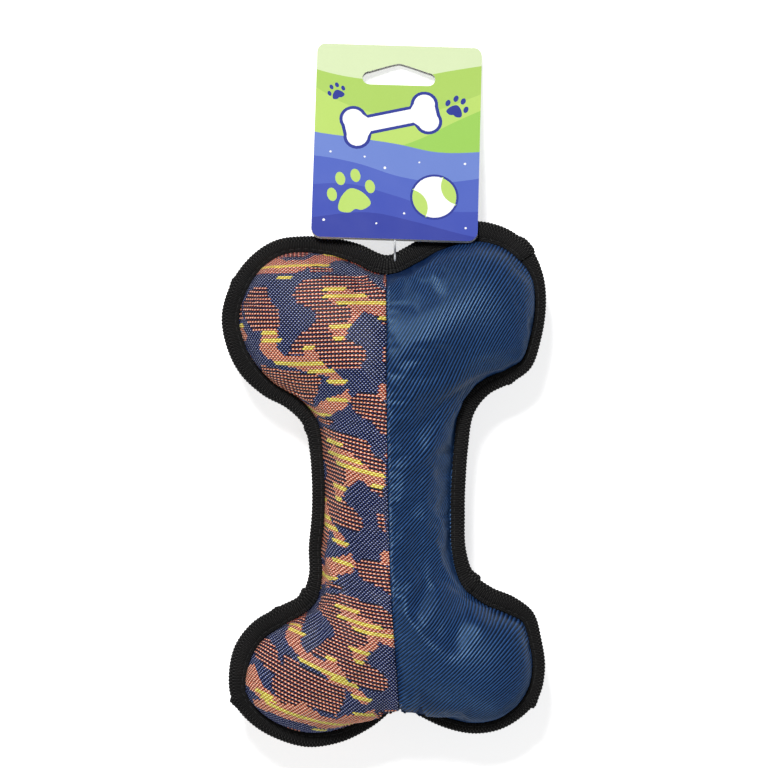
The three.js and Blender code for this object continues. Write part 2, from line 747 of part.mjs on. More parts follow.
function pinHole() {
  const reach = 2 * (tapeOuter + overrun);
  const hole = new THREE.CylinderGeometry(
    pinDiameter / 2 + pinHoleClearance, pinDiameter / 2 + pinHoleClearance, reach, pinSides);
  return hole.rotateX(Math.PI / 2).translate(pinAcross, pinAlong, seamPlane);
}

const finish = {
  camouflage: { color: '#7c4a45', roughness: 0.9, metalness: 0 },
  twill: { color: '#2b4878', roughness: 0.75, metalness: 0 },
  tape: { color: '#1b1b1c', roughness: 0.9, metalness: 0 },
  fibre: { color: '#ecebe6', roughness: 1, metalness: 0 },
  vinyl: { color: '#f1efe6', roughness: 0.45, metalness: 0 },
  reed: { color: '#e3e6ea', roughness: 0.3, metalness: 0 },
  card: { color: '#9cc46a', roughness: 0.5, metalness: 0 },
  nylon: { color: '#e9edf0', roughness: 0.35, metalness: 0 },
};

function named(name, geometry, look) {
  const mesh = new THREE.Mesh(geometry, new THREE.MeshStandardMaterial(look));
  mesh.name = name;
  return mesh;
}

const toy = new THREE.Group();
toy.add(
  named('front_left_panel', panel('left', 1), finish.camouflage),
  named('front_right_panel', cut(panel('right', 1), pinHole()), finish.twill),
  named('back_left_panel', panel('left', -1), finish.camouflage),
  named('back_right_panel', cut(panel('right', -1), pinHole()), finish.twill),
  named('edge_tape', cut(edgeTape(), pinHole()), finish.tape),
  named('front_filling', cut(filling(1), squeakerPocket()), finish.fibre),
  named('back_filling', cut(filling(-1), squeakerPocket()), finish.fibre),
  named('squeaker_bulb', squeakerBulb(), finish.vinyl),
  named('squeaker_plug', squeakerPlug(), finish.vinyl),
  named('reed_seat', reedSeat(), finish.vinyl),
  named('squeaker_reed', squeakerReed(), finish.reed),
  named('tag_pin_bar', pinBar(), finish.nylon),
);

const tagOnPin = new THREE.Group();
tagOnPin.position.copy(tagHinge);
tagOnPin.rotation.set(-tagLean, 0, tagYaw, 'ZXY');
const hangTagMesh = named('hang_tag', hangTag(), finish.card);
hangTagMesh.position.x = tagSideOffset;
tagOnPin.add(hangTagMesh, named('tag_pin_paddle', pinPaddle(), finish.nylon));
toy.add(tagOnPin);

// The part's origin is the middle of its footprint, on the floor.
toy.updateMatrixWorld(true);
const footprint = new THREE.Box3().setFromObject(toy, true);
const centre = footprint.getCenter(new THREE.Vector3());
toy.position.set(-centre.x, -centre.y, 0);

export default toy;
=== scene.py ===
# The looks of a bone-shaped stuffed dog toy with a folded hang tag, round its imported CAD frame.
# Sizes are millimetres and become metres where a mesh is made.
import math
from types import SimpleNamespace

import bmesh
import bpy
import numpy as np
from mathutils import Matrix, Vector, geometry


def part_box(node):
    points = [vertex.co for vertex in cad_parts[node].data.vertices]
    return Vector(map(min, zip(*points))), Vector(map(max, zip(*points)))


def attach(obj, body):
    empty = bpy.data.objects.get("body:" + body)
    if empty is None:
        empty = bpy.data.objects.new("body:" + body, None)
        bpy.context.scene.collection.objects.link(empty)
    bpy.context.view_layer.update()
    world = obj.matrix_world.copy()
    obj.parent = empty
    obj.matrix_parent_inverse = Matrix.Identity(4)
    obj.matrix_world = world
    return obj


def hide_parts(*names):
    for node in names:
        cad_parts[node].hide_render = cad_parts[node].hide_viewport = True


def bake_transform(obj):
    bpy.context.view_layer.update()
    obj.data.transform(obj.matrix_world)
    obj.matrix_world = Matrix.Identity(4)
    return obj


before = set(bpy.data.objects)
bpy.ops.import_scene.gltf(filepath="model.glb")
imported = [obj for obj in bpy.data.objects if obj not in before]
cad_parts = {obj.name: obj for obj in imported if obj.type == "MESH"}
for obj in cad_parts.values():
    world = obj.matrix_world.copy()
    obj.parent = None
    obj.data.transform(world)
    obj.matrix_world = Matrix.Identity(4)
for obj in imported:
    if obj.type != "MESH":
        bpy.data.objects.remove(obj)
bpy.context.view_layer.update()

MM = 0.001

# Toy body
TOY_LENGTH = 230
TOY_WIDTH = 142
FRONT_RISE = 27
BACK_RISE = 24
REST_CUT = 0.5
FLANGE_TOP = 0.95
FRONT_FULLNESS = 1.25
BACK_FULLNESS = 2
BACK_SETTLING = 1.15
NOTCH_OVERHANG = 7
OVERHANG_SPREAD = 20
OVERHANG_START = 4
OVERHANG_FULL = 11
SEAM_PLANE = BACK_RISE + FLANGE_TOP - REST_CUT

# Edge tape
TAPE_LEG = 8.8
TAPE_INNER = 1.25
TAPE_OUTER = 2.35
TAPE_SET_BACK = 0.36
TAPE_CHANNEL = 1.32
TAPE_RIB = 1.55

# The outer edge of the tape, anticlockwise from the notch at the tag end: shares of half the width, half
# the length and the tape's leg.
OUTLINE_SHARES = [
    (0.022, 0.87, 1), (-0.145, 0.911, 1), (-0.317, 0.936, 0.95), (-0.495, 0.942, 0.84),
    (-0.662, 0.928, 0.86), (-0.822, 0.863, 0.87), (-0.938, 0.764, 0.92), (-0.995, 0.646, 0.92),
    (-0.966, 0.522, 0.95), (-0.877, 0.414, 0.95), (-0.742, 0.338, 0.86), (-0.594, 0.287, 0.8),
    (-0.495, 0.224, 0.74), (-0.455, 0.12, 0.68), (-0.44, -0.08, 0.68), (-0.46, -0.24, 0.68),
    (-0.46, -0.346, 0.72), (-0.508, -0.418, 0.86), (-0.655, -0.468, 0.98), (-0.809, -0.527, 1),
    (-0.912, -0.61, 1.02), (-0.953, -0.715, 0.92), (-0.936, -0.815, 0.82), (-0.84, -0.896, 0.8),
    (-0.68, -0.962, 0.78), (-0.465, -0.999, 0.78), (-0.255, -0.979, 0.68), (-0.083, -0.928, 0.6),
    (0.02, -0.878, 0.56), (0.104, -0.824, 0.54), (0.214, -0.878, 0.54), (0.378, -0.926, 0.56),
    (0.563, -0.948, 0.58), (0.735, -0.928, 0.6), (0.877, -0.871, 0.66), (0.963, -0.8, 0.72),
    (0.994, -0.7, 0.68), (0.975, -0.593, 0.66), (0.923, -0.487, 0.76), (0.809, -0.43, 0.94),
    (0.668, -0.392, 0.94), (0.557, -0.338, 0.84), (0.508, -0.25, 0.76), (0.5, -0.1, 0.75),
    (0.52, 0.13, 0.75), (0.557, 0.265, 0.78), (0.649, 0.34, 0.78), (0.791, 0.386, 0.74),
    (0.908, 0.442, 0.64), (0.972, 0.555, 0.6), (1, 0.688, 0.6), (0.978, 0.806, 0.66),
    (0.905, 0.9, 0.9), (0.766, 0.969, 1), (0.594, 0.999, 1.05), (0.428, 0.989, 1.08),
    (0.274, 0.951, 1.05), (0.132, 0.899, 1),
]
FAR_NOTCH = 0.5
SEAM_SHARES = [(0.025, 0.091), (0.049, -0.441)]
TANGENT_SHARE = 0.25
SEWN_STEPS = 3000
SEAM_STEPS = 1500

# Where the toy's centre lies in the frame, from the squeaker that sits on it.
squeaker_low, squeaker_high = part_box("squeaker_bulb")
CENTRE = np.array([(squeaker_low.x + squeaker_high.x) / 2, (squeaker_low.y + squeaker_high.y) / 2]) / MM


# Camera and lamps

CAMERA_DISTANCE = 2600
CAMERA_FIELD = 335.6
CAMERA_CENTRE = (-0.6, 4.06)
SENSOR = 36
CLIP_START = 0.1
CLIP_END = 20


def linked(name, data):
    """A new object in the scene."""
    item = bpy.data.objects.new(name, data)
    bpy.context.scene.collection.objects.link(item)
    return item


def set_camera():
    data = bpy.data.cameras.new("photo_camera")
    data.sensor_width = SENSOR
    data.lens = SENSOR * CAMERA_DISTANCE / CAMERA_FIELD
    data.clip_start = CLIP_START
    data.clip_end = CLIP_END
    camera = linked("photo_camera", data)
    camera.location = (CAMERA_CENTRE[0] * MM, CAMERA_CENTRE[1] * MM, (SEAM_PLANE + CAMERA_DISTANCE) * MM)
    bpy.context.scene.camera = camera


def soft_lamp(name, place, size, power):
    data = bpy.data.lights.new(name, "AREA")
    data.shape = "SQUARE"
    data.size = size
    data.energy = power
    lamp = linked(name, data)
    lamp.location = place
    lamp.rotation_mode = "QUATERNION"
    lamp.rotation_quaternion = (-Vector(place)).to_track_quat("-Z", "Y")


set_camera()
bpy.context.scene.view_settings.view_transform = "Standard"


# Small helpers

TINY = 1e-9
CHUNK = 2000


def new_piece(name, points, faces):
    """A smooth mesh object from points in millimetres and faces of equal size."""
    mesh = bpy.data.meshes.new(name)
    faces = np.asarray(faces, dtype=np.int32)
    sides = faces.shape[1]
    mesh.vertices.add(len(points))
    mesh.vertices.foreach_set("co", (np.asarray(points, dtype=np.float32) * MM).ravel())
    mesh.loops.add(faces.size)
    mesh.loops.foreach_set("vertex_index", faces.ravel())
    mesh.polygons.add(len(faces))
    mesh.polygons.foreach_set("loop_start", np.arange(0, faces.size, sides, dtype=np.int32))
    mesh.polygons.foreach_set("loop_total", np.full(len(faces), sides, dtype=np.int32))
    mesh.polygons.foreach_set("use_smooth", np.ones(len(faces), dtype=bool))
    mesh.update(calc_edges=True)
    mesh.validate()
    return linked(name, mesh)


def vectors(data, key, count):
    out = np.empty(count * 3, dtype=np.float32)
    data.foreach_get(key, out)
    return out.reshape(-1, 3)


def points_of(mesh):
    return vectors(mesh.vertices, "co", len(mesh.vertices)).astype(float) / MM


def normals_of(mesh):
    return vectors(mesh.vertex_normals, "vector", len(mesh.vertices))


def move_points(mesh, points):
    mesh.vertices.foreach_set("co", (points * MM).astype(np.float32).ravel())
    mesh.update()


def point_vectors(piece, name, values):
    data = piece.data.attributes.new(name, "FLOAT_VECTOR", "POINT").data
    data.foreach_set("vector", np.asarray(values, dtype=np.float32).ravel())


def face_colours(piece, name, colours):
    data = piece.data.attributes.new(name, "FLOAT_COLOR", "FACE").data
    data.foreach_set("color", np.column_stack([colours, np.ones(len(colours))]).astype(np.float32).ravel())


def evaluated_mesh(piece):
    return bpy.data.meshes.new_from_object(piece.evaluated_get(bpy.context.evaluated_depsgraph_get()))


def applied(piece):
    """Turns a piece with modifiers into a plain mesh."""
    mesh = evaluated_mesh(piece)
    mesh.name = piece.name
    piece.modifiers.clear()
    piece.data = mesh


def subdivide(piece, levels):
    fine = piece.modifiers.new("fine", "SUBSURF")
    fine.levels = fine.render_levels = levels
    fine.boundary_smooth = "PRESERVE_CORNERS"


def thicken(piece, thickness):
    """Gives a sheet its thickness, behind the face that shows."""
    sheet = piece.modifiers.new("thickness", "SOLIDIFY")
    sheet.thickness = thickness * MM
    sheet.offset = -1
    return sheet


def swept_quads(grid):
    """The faces between rings of points, from their numbers with one ring to a row."""
    here, ahead = grid[:-1], grid[1:]
    quads = np.stack([here, np.roll(here, -1, axis=1), np.roll(ahead, -1, axis=1), ahead], axis=-1)
    return quads.reshape(-1, 4)


def flat_cross(one, two):
    """The cross product of directions in the plan."""
    return one[..., 0] * two[..., 1] - one[..., 1] * two[..., 0]


def unit(directions):
    return directions / np.maximum(np.linalg.norm(directions, axis=1, keepdims=True), TINY)


def smoothstep(x, low, high):
    s = np.clip((x - low) / (high - low), 0, 1)
    return s * s * (3 - 2 * s)


def lerp(a, b, share):
    return a + (b - a) * share


# The toy's outline

def catmull(points, t, closed):
    """Centripetal Catmull-Rom curve through the points, at parameters from 0 to 1."""
    points = np.asarray(points, dtype=float)
    t = np.asarray(t, dtype=float)
    count = len(points)
    if closed:
        place = (t % 1.0) * count
        k = np.floor(place).astype(int)
        four = [points[(k + step) % count] for step in (-1, 0, 1, 2)]
    else:
        padded = np.vstack([2 * points[0] - points[1], points, 2 * points[-1] - points[-2]])
        place = t * (count - 1)
        k = np.clip(np.floor(place).astype(int), 0, count - 2)
        four = [padded[k + step] for step in range(4)]
    w = (place - k)[..., None]
    a, b, c, d = four
    gaps = [np.sqrt(np.linalg.norm(q - p, axis=-1, keepdims=True)) for p, q in ((a, b), (b, c), (c, d))]
    start = ((b - a) / gaps[0] - (c - a) / (gaps[0] + gaps[1]) + (c - b) / gaps[1]) * gaps[1]
    end = ((c - b) / gaps[1] - (d - b) / (gaps[1] + gaps[2]) + (d - c) / gaps[2]) * gaps[1]
    return (b + start * w + (-3 * b + 3 * c - 2 * start - end) * w ** 2
            + (2 * b - 2 * c + start + end) * w ** 3)


OUTLINE = np.array(OUTLINE_SHARES) * (TOY_WIDTH / 2, TOY_LENGTH / 2, TAPE_LEG)


def edge_at(t):
    """The tape's outer edge: points, directions into the toy, and the leg that shows there."""
    t = np.asarray(t, dtype=float)
    span = TANGENT_SHARE / len(OUTLINE)
    point, before, after = (catmull(OUTLINE, t + s, True) for s in (0, -span, span))
    inward = np.stack([before[..., 1] - after[..., 1], after[..., 0] - before[..., 0]], axis=-1)
    inward /= np.linalg.norm(inward, axis=-1, keepdims=True)
    return point[..., :2], inward, point[..., 2]


def sewn_at(t):
    edge, inward, leg = edge_at(t)
    return edge + inward * leg[..., None]


def evenly(curve, start, end, spacing, fine=6000):
    """Parameters that lie evenly along a curve."""
    t = np.linspace(start, end, fine)
    run = np.concatenate([[0], np.cumsum(np.linalg.norm(np.diff(curve(t), axis=0), axis=1))])
    count = max(2, round(run[-1] / spacing))
    return np.interp(np.linspace(0, run[-1], count + 1), run, t)


near_notch, far_notch = sewn_at(0.0), sewn_at(FAR_NOTCH)
SEAM = np.vstack([near_notch, np.array(SEAM_SHARES) * (TOY_WIDTH / 2, TOY_LENGTH / 2), far_notch])


def seam_at(t):
    return catmull(SEAM, t, False)


def away_from(points, line):
    """The distance from each point to a fine line of points."""
    nearest = np.full(len(points), np.inf)
    for k in range(0, len(points), CHUNK):
        gap = points[k:k + CHUNK, None, :] - line[None, :, :]
        nearest[k:k + CHUNK] = np.sqrt((gap ** 2).sum(-1).min(1))
    return nearest


def inside(points, polygon):
    x, y = points[:, 0], points[:, 1]
    hit = np.zeros(len(points), dtype=bool)
    for (ax, ay), (bx, by) in zip(polygon, np.roll(polygon, -1, axis=0)):
        if ay == by:
            continue
        hit ^= ((ay > y) != (by > y)) & (x < (bx - ax) * (y - ay) / (by - ay) + ax)
    return hit


# The stuffed body before it is sewn up: a plan of triangles and how far each place swells

PLAN_SPACING = 2.2
RIM_STEPS = (0.12, 0.45, 1.0, 1.8, 2.9, 4.3)
RING_SHARE = 0.9
RING_SEAM_GAP = 0.9
GRID_RIM_GAP = 5.6
GRID_SEAM_GAP = 1.2
SAME_SPOT = 1e-6
SOLVED_SHARE = 1e-14
STEEPEST = 0.3

sewn_fine = sewn_at(np.linspace(0, 1, SEWN_STEPS, endpoint=False))
seam_fine = seam_at(np.linspace(0, 1, SEAM_STEPS))


def triangular_grid(low, high):
    rows = []
    for k, y in enumerate(np.arange(low[1], high[1], PLAN_SPACING * math.sqrt(3) / 2)):
        x = np.arange(low[0] + (k % 2) * PLAN_SPACING / 2, high[0], PLAN_SPACING)
        rows.append(np.column_stack([x, np.full(len(x), y)]))
    return np.vstack(rows)


def body_plan():
    """The plan's points and triangles, which points lie on the rim and on the seam, and where each rim point
    lies along the outline."""
    left = evenly(sewn_at, 0, FAR_NOTCH, PLAN_SPACING)
    right = evenly(sewn_at, 1, FAR_NOTCH, PLAN_SPACING)
    around = np.concatenate([left, right[1:-1][::-1]])
    rim = sewn_at(around)
    seam = seam_at(evenly(seam_at, 0, 1, PLAN_SPACING))[1:-1]
    _, inward, _ = edge_at(around)
    rings = []
    for step in RIM_STEPS:
        ring = rim + inward * step
        off_rim = away_from(ring, sewn_fine) > step * RING_SHARE
        off_seam = away_from(ring, seam_fine) > RING_SEAM_GAP
        rings.append(ring[off_rim & off_seam])
    inner = triangular_grid(rim.min(0), rim.max(0))
    inner = inner[inside(inner, rim)]
    off_rim = away_from(inner, sewn_fine) > GRID_RIM_GAP
    off_seam = away_from(inner, seam_fine) > GRID_SEAM_GAP
    points = np.vstack([rim, seam, *rings, inner[off_rim & off_seam]])
    count = len(rim)
    edges = [(k, (k + 1) % count) for k in range(count)]
    chain = [0, *range(count, count + len(seam)), len(left) - 1]
    edges += list(zip(chain[:-1], chain[1:]))
    corners = [Vector(point) for point in points]
    made = geometry.delaunay_2d_cdt(corners, edges, [list(range(count))], 1, SAME_SPOT, True)
    coords = np.array([v[:] for v in made[0]])
    faces = np.array([f for f in made[2] if len(f) == 3])
    faces = faces[inside(coords[faces].mean(1), rim)]
    source = np.array([ids[0] if ids else -1 for ids in made[3]])
    a, b, c = (coords[faces[:, k]] for k in range(3))
    turn = flat_cross(b - a, c - a)
    faces[turn < 0] = faces[turn < 0][:, ::-1]
    faces = faces[np.abs(turn) > TINY]
    on_rim = (source >= 0) & (source < count)
    on_seam = np.isin(source, chain)
    place = np.full(len(coords), -1.0)
    place[on_rim] = around[source[on_rim]]
    return coords, faces, on_rim, on_seam, place


def triangle_parts(points, faces):
    """The opposite edges of each triangle's corners, its outward normal and twice its area."""
    corner = [points[faces[:, k]] for k in range(3)]
    normal = np.cross(corner[1] - corner[0], corner[2] - corner[0])
    double = np.maximum(np.linalg.norm(normal, axis=1), TINY)
    opposite = [corner[2] - corner[1], corner[0] - corner[2], corner[1] - corner[0]]
    return opposite, normal / double[:, None], double


def spread_evenly(opposite, double, faces, load, free):
    """Solves the stretched sheet of triangles for a load at each point, by conjugate gradients."""
    rows, columns, values = [], [], []
    for m in range(3):
        for n in range(3):
            rows.append(faces[:, m])
            columns.append(faces[:, n])
            values.append((opposite[m] * opposite[n]).sum(1) / (2 * double))
    rows, columns, values = (np.concatenate(x) for x in (rows, columns, values))
    keep = free[rows] & free[columns]
    rows, columns, values = rows[keep], columns[keep], values[keep]
    total = len(load)
    solved = np.zeros(total)
    residual = load * free
    direction = residual.copy()
    size = residual @ residual
    target = size * SOLVED_SHARE
    while size > target:
        image = np.bincount(rows, values * direction[columns], total)
        step = size / (direction @ image)
        solved += step * direction
        residual -= step * image
        fresh = residual @ residual
        direction = residual + fresh / size * direction
        size = fresh
    return solved


def membrane(points, faces, fixed):
    """An evenly loaded membrane that is held at its rim."""
    opposite, _, double = triangle_parts(np.column_stack([points, np.zeros(len(points))]), faces)
    load = np.bincount(faces.ravel(), np.repeat(double / 6, 3), len(points))
    return spread_evenly(opposite, double, faces, load, ~fixed)


def run_over(normal, degrees, side):
    """The direction on each triangle that lies, seen from above, at the given angle."""
    angle = np.radians(degrees)
    rise = side * np.maximum(np.abs(normal[:, 2]), STEEPEST)
    run = np.column_stack([np.cos(angle), np.sin(angle), np.zeros(len(angle))])
    run[:, 2] = -(normal[:, 0] * run[:, 0] + normal[:, 1] * run[:, 1]) / rise
    return unit(run - normal * (run * normal).sum(1, keepdims=True))


def laid_along(points, faces, degrees, column_degrees, side):
    """Runs a grid over a panel. Its rows and columns lie, seen from above, at the given angles on each
    triangle. Gives each point's place along the rows and along the columns, in millimetres of cloth."""
    opposite, normal, double = triangle_parts(points, faces)
    run, column = run_over(normal, degrees, side), run_over(normal, column_degrees, side)
    beside_column, beside_run = side * np.cross(column, normal), side * np.cross(normal, run)
    places = []
    for wanted in (beside_column / (beside_column * run).sum(1, keepdims=True),
                   beside_run / (beside_run * column).sum(1, keepdims=True)):
        load = np.zeros(len(points))
        for k in range(3):
            share = (np.cross(normal, opposite[k]) * wanted).sum(1) / 2
            load += np.bincount(faces[:, k], share, len(points))
        places.append(spread_evenly(opposite, double, faces, load, np.ones(len(points), dtype=bool)))
    return np.column_stack(places)


def filled(share, fullness):
    return 1 - (1 - np.minimum(1, share)) ** fullness


plan, plan_faces, on_rim, on_seam, rim_place = body_plan()
load_share = membrane(plan, plan_faces, on_rim)
swell = np.sqrt(np.clip(load_share / load_share[~on_seam].max(), 0, 1))
back_rise = BACK_RISE * filled(swell * BACK_SETTLING, BACK_FULLNESS)
FRONT_HEIGHT = FRONT_RISE * filled(swell, FRONT_FULLNESS) + FLANGE_TOP
BACK_HEIGHT = np.minimum(back_rise, BACK_RISE - REST_CUT) + FLANGE_TOP


def overhang(points, height):
    away = np.linalg.norm(points - far_notch, axis=1) / OVERHANG_SPREAD
    return NOTCH_OVERHANG * np.exp(-away ** 2) * smoothstep(height, OVERHANG_START, OVERHANG_FULL)


def face_points(height, side):
    shifted = plan - np.stack([np.zeros(len(plan)), overhang(plan, height)], axis=1)
    return np.column_stack([shifted + CENTRE, SEAM_PLANE + side * height])


front_points = face_points(FRONT_HEIGHT, 1)
back_points = face_points(BACK_HEIGHT, -1)


# Stuffing: the cloth is blown up against its sewn edge, so that it drapes and puckers

START_SHARE = 0.9
SIM_FRAMES = 20
HELD_HEIGHT = 3.2
BACK_EASED = 16
BACK_EASED_GAP = (1, 12)
MOST_MOVE = 5
SETTLED_FROM = 1
BODY_HEIGHT = 6
REST_GAP = 0.4
REST_SOFTNESS = 0.5
LARGEST_POWER = 30
CLOTH_SETTINGS = {
    "quality": 8, "mass": 0.3, "tension_stiffness": 15, "compression_stiffness": 15, "shear_stiffness": 5,
    "bending_stiffness": 0.02, "use_pressure": True, "uniform_pressure_force": 4, "vertex_group_mass": "held",
    "vertex_group_shrink": "tight", "shrink_min": -0.02, "shrink_max": 0.0,
}


def stuff(rest, faces, held, seam):
    """Lets one face of the toy swell and wrinkle, with its sewn edge held."""
    piece = new_piece("stuffing_cloth", rest, faces)
    for name, chosen in (("held", held), ("tight", seam)):
        group = piece.vertex_groups.new(name=name)
        group.add(np.flatnonzero(chosen).tolist(), 1.0, "REPLACE")
    cloth = piece.modifiers.new("cloth", "CLOTH")
    cloth.settings.effector_weights.gravity = 0
    for key, value in CLOTH_SETTINGS.items():
        setattr(cloth.settings, key, value)
    cloth.collision_settings.use_collision = False
    cloth.collision_settings.use_self_collision = False
    scene = bpy.context.scene
    for step in range(1, SIM_FRAMES + 1):
        scene.frame_set(step)
    done = piece.evaluated_get(bpy.context.evaluated_depsgraph_get())
    moved = points_of(done.data) - rest
    scene.frame_set(1)
    bpy.data.objects.remove(piece)
    far = np.linalg.norm(moved, axis=1, keepdims=True)
    return rest + moved * np.minimum(1, MOST_MOVE / np.maximum(far, TINY))


def lowered(points, side):
    out = points.copy()
    out[:, 2] = SEAM_PLANE + (points[:, 2] - SEAM_PLANE - side * FLANGE_TOP) * START_SHARE + side * FLANGE_TOP
    return out


def settled(points, wanted, side):
    """The draped cloth brought to the frame's mean height, and flat where the back rests."""
    out = points.copy()
    height = (points[:, 2] - SEAM_PLANE) * side
    body = wanted > BODY_HEIGHT
    scale = wanted[body].mean() / height[body].mean()
    height *= lerp(1, scale, smoothstep(height, SETTLED_FROM, BODY_HEIGHT))
    if side < 0:
        over = np.clip((SEAM_PLANE - REST_GAP - height) / REST_SOFTNESS, -LARGEST_POWER, LARGEST_POWER)
        height = SEAM_PLANE - REST_GAP - REST_SOFTNESS * np.log1p(np.exp(over))
    out[:, 2] = SEAM_PLANE + side * height
    return out


rim_gap = away_from(plan, sewn_fine)
front_cloth = stuff(lowered(front_points, 1), plan_faces, FRONT_HEIGHT < HELD_HEIGHT, on_seam)
back_cloth = stuff(lowered(back_points, -1), plan_faces[:, ::-1], BACK_HEIGHT < HELD_HEIGHT, on_seam)
# The toy lies on its back, whose side walls stay smooth next to the tape.
wall_ease = smoothstep(BACK_HEIGHT, HELD_HEIGHT, BACK_EASED) * smoothstep(rim_gap, *BACK_EASED_GAP)
back_cloth = lerp(back_points, back_cloth, wall_ease[:, None])
front_cloth = settled(front_cloth, FRONT_HEIGHT, 1)
back_cloth = settled(back_cloth, BACK_HEIGHT, -1)

# Creases and ridges that the hand leaves in the front: from, to, half width and depth.
FOLDS = [
    ((31, -43), (18, -59), 4, 1.3), ((39, -42), (31, -68), 4, -2.1), ((47, -51), (42, -63), 3.5, 1.2),
    ((24, -40), (15, -50), 3, -0.8), ((14, 3.5), (30, 16), 3, -1.1), ((12, 10), (27, 21), 3.5, 0.8),
    ((-27, 25), (-9, 31), 3.2, -1.7), ((-24, 33), (-9, 38), 3.5, 0.8), ((-28, -50), (-29, -67), 3.6, -2.6),
    ((-23, -49), (-19, -64), 3, 1.0), ((-37, -57), (-38, -70), 3.5, 0.9), ((-63, 80), (-53, 82), 2.4, -1.6),
    ((-58, 70), (-50, 74), 3, 0.7), ((-42, 38), (-28, 22), 4, -1.2), ((50, 40), (36, 30), 4, -1.2),
    ((-50, -88), (-34, -96), 5, 0.8), ((20, 62), (44, 88), 8, 0.9), ((-20, -22), (-12, -30), 3.5, -0.9),
    ((26, 107), (54, 106), 4.5, -2.9),
]
FOLD_FADE = (2, 9)
NOTCH_SAG = 2.6
NOTCH_SAG_SPREAD = 17
SEAM_END_SAG = 2.0
SEAM_END_SPREAD = 6
SEAM_END_SHIFT = (1.5, 0)
SEAM_END_FADE = (0.5, 4)


def folded(points):
    """The front with its creases, and with the swell that hangs over the far notch."""
    out = points.copy()
    height = points[:, 2] - SEAM_PLANE
    free = smoothstep(height, *FOLD_FADE)
    for start, end, width, depth in FOLDS:
        start, end = np.array(start, dtype=float), np.array(end, dtype=float)
        run = end - start
        share = np.clip(((plan - start) @ run) / (run @ run), 0, 1)
        gap = np.linalg.norm(plan - start - share[:, None] * run, axis=1)
        out[:, 2] += depth * np.exp(-(gap / width) ** 2) * free
    away = np.linalg.norm(plan - far_notch, axis=1) / NOTCH_SAG_SPREAD
    out[:, 1] -= NOTCH_SAG * np.exp(-away ** 2) * free
    near_end = np.linalg.norm(plan - far_notch - SEAM_END_SHIFT, axis=1) / SEAM_END_SPREAD
    out[:, 1] -= SEAM_END_SAG * np.exp(-near_end ** 2) * smoothstep(height, *SEAM_END_FADE)
    return out


front_cloth = folded(front_cloth)


# Panels: half a face with the allowance turned in at the seam and the flange under the tape

FLANGE_REACHES = (0.4, 1.6, 3.0)
ALLOWANCE_REACHES = ((0.35, 0.1), (1.2, 0.35), (3.4, 0.5))
ALLOWANCE_SHARE = 0.6
CREASE = 0.7
SHEET_LEVELS = 2
READING_SPREAD = 5
COLUMN_LEAN = 92.3
CLOTH_THICKNESS = 0.8
LARGEST_SPAN = 13
LONGEST_CELL = 6
SPAN_SLACK = 1e-6
WEIGHT_SLACK = 1e-5
FACE_LIFT = 0.05
CLOTH_LIFT = 0.03


def seam_x(y):
    return np.interp(-y, -seam_fine[:, 1], seam_fine[:, 0])


centroids = plan[plan_faces].mean(1)
on_left = centroids[:, 0] < seam_x(centroids[:, 1])
seam_gap = away_from(plan, seam_fine)
seam_row = sorted(np.flatnonzero(on_seam), key=lambda k: -plan[k, 1])


def half_of(points, left, side):
    """One panel: its points and faces, where the points lie on the plan and how far from the seam."""
    chosen = plan_faces[on_left if left else ~on_left]
    keep, faces = np.unique(chosen, return_inverse=True)
    faces = faces.reshape(-1, 3)
    if side < 0:
        faces = faces[:, ::-1]
    place_in = {old: new for new, old in enumerate(keep)}
    toward = -1 if left else 1
    turn = rim_place if left else np.where(on_rim & (rim_place == 0), 1.0, rim_place)
    rim_row = sorted((k for k in np.flatnonzero(on_rim) if k in place_in), key=lambda k: turn[k])
    _, inward, _ = edge_at(rim_place[rim_row])
    layers, spots, gaps, quads = [points[keep]], [plan[keep]], [seam_gap[keep]], []

    def add_row(row, row_spots, row_gaps, last):
        size = sum(len(layer) for layer in layers)
        here = list(range(size, size + len(row)))
        quads.extend((last[k], last[k + 1], here[k + 1], here[k]) for k in range(len(row) - 1))
        layers.append(row)
        spots.append(row_spots)
        gaps.append(row_gaps)
        return here

    last = [place_in[k] for k in rim_row]
    for reach in FLANGE_REACHES:
        row = np.column_stack([plan[rim_row] + CENTRE - inward * reach,
                               np.full(len(rim_row), SEAM_PLANE + side * FLANGE_TOP)])
        last = add_row(row, plan[rim_row] - inward * reach, seam_gap[rim_row], last)
    flange_quads = len(quads)
    last = [place_in[k] for k in seam_row]
    height = (points[seam_row, 2] - SEAM_PLANE) * side
    for reach, lean in ALLOWANCE_REACHES:
        row = points[seam_row]
        row[:, 0] += toward * lean
        row[:, 2] -= side * np.minimum(reach, height * ALLOWANCE_SHARE)
        last = add_row(row, plan[seam_row], np.full(len(row), -reach), last)
    out = np.vstack(layers)
    q = np.array(quads)
    a, b, d = out[q[:, 0]], out[q[:, 1]], out[q[:, 3]]
    normal = np.cross(b - a, d - a)
    wrong = np.where(np.arange(len(q)) < flange_quads, normal[:, 2] * side < 0, normal[:, 0] * toward > 0)
    q[wrong] = q[wrong][:, ::-1]
    creased = set()
    for row in (rim_row, seam_row):
        ids = [place_in[k] for k in row]
        creased.update(tuple(sorted(pair)) for pair in zip(ids[:-1], ids[1:]))
    hems = np.vstack([q[:, [0, 1, 2]], q[:, [0, 2, 3]]])
    return SimpleNamespace(points=out, faces=np.vstack([faces, hems]), body_faces=faces,
                           spots=np.vstack(spots), gaps=np.concatenate(gaps), creased=creased)


def leaning(readings, spots):
    """The angle at each spot, blended from the readings that lie near it."""
    readings = np.array(readings, dtype=float)
    gap = np.linalg.norm(spots[:, None, :] - readings[None, :, :2], axis=-1)
    weight = 1 / (gap + READING_SPREAD) ** 4
    return (weight * readings[:, 2]).sum(1) / weight.sum(1)


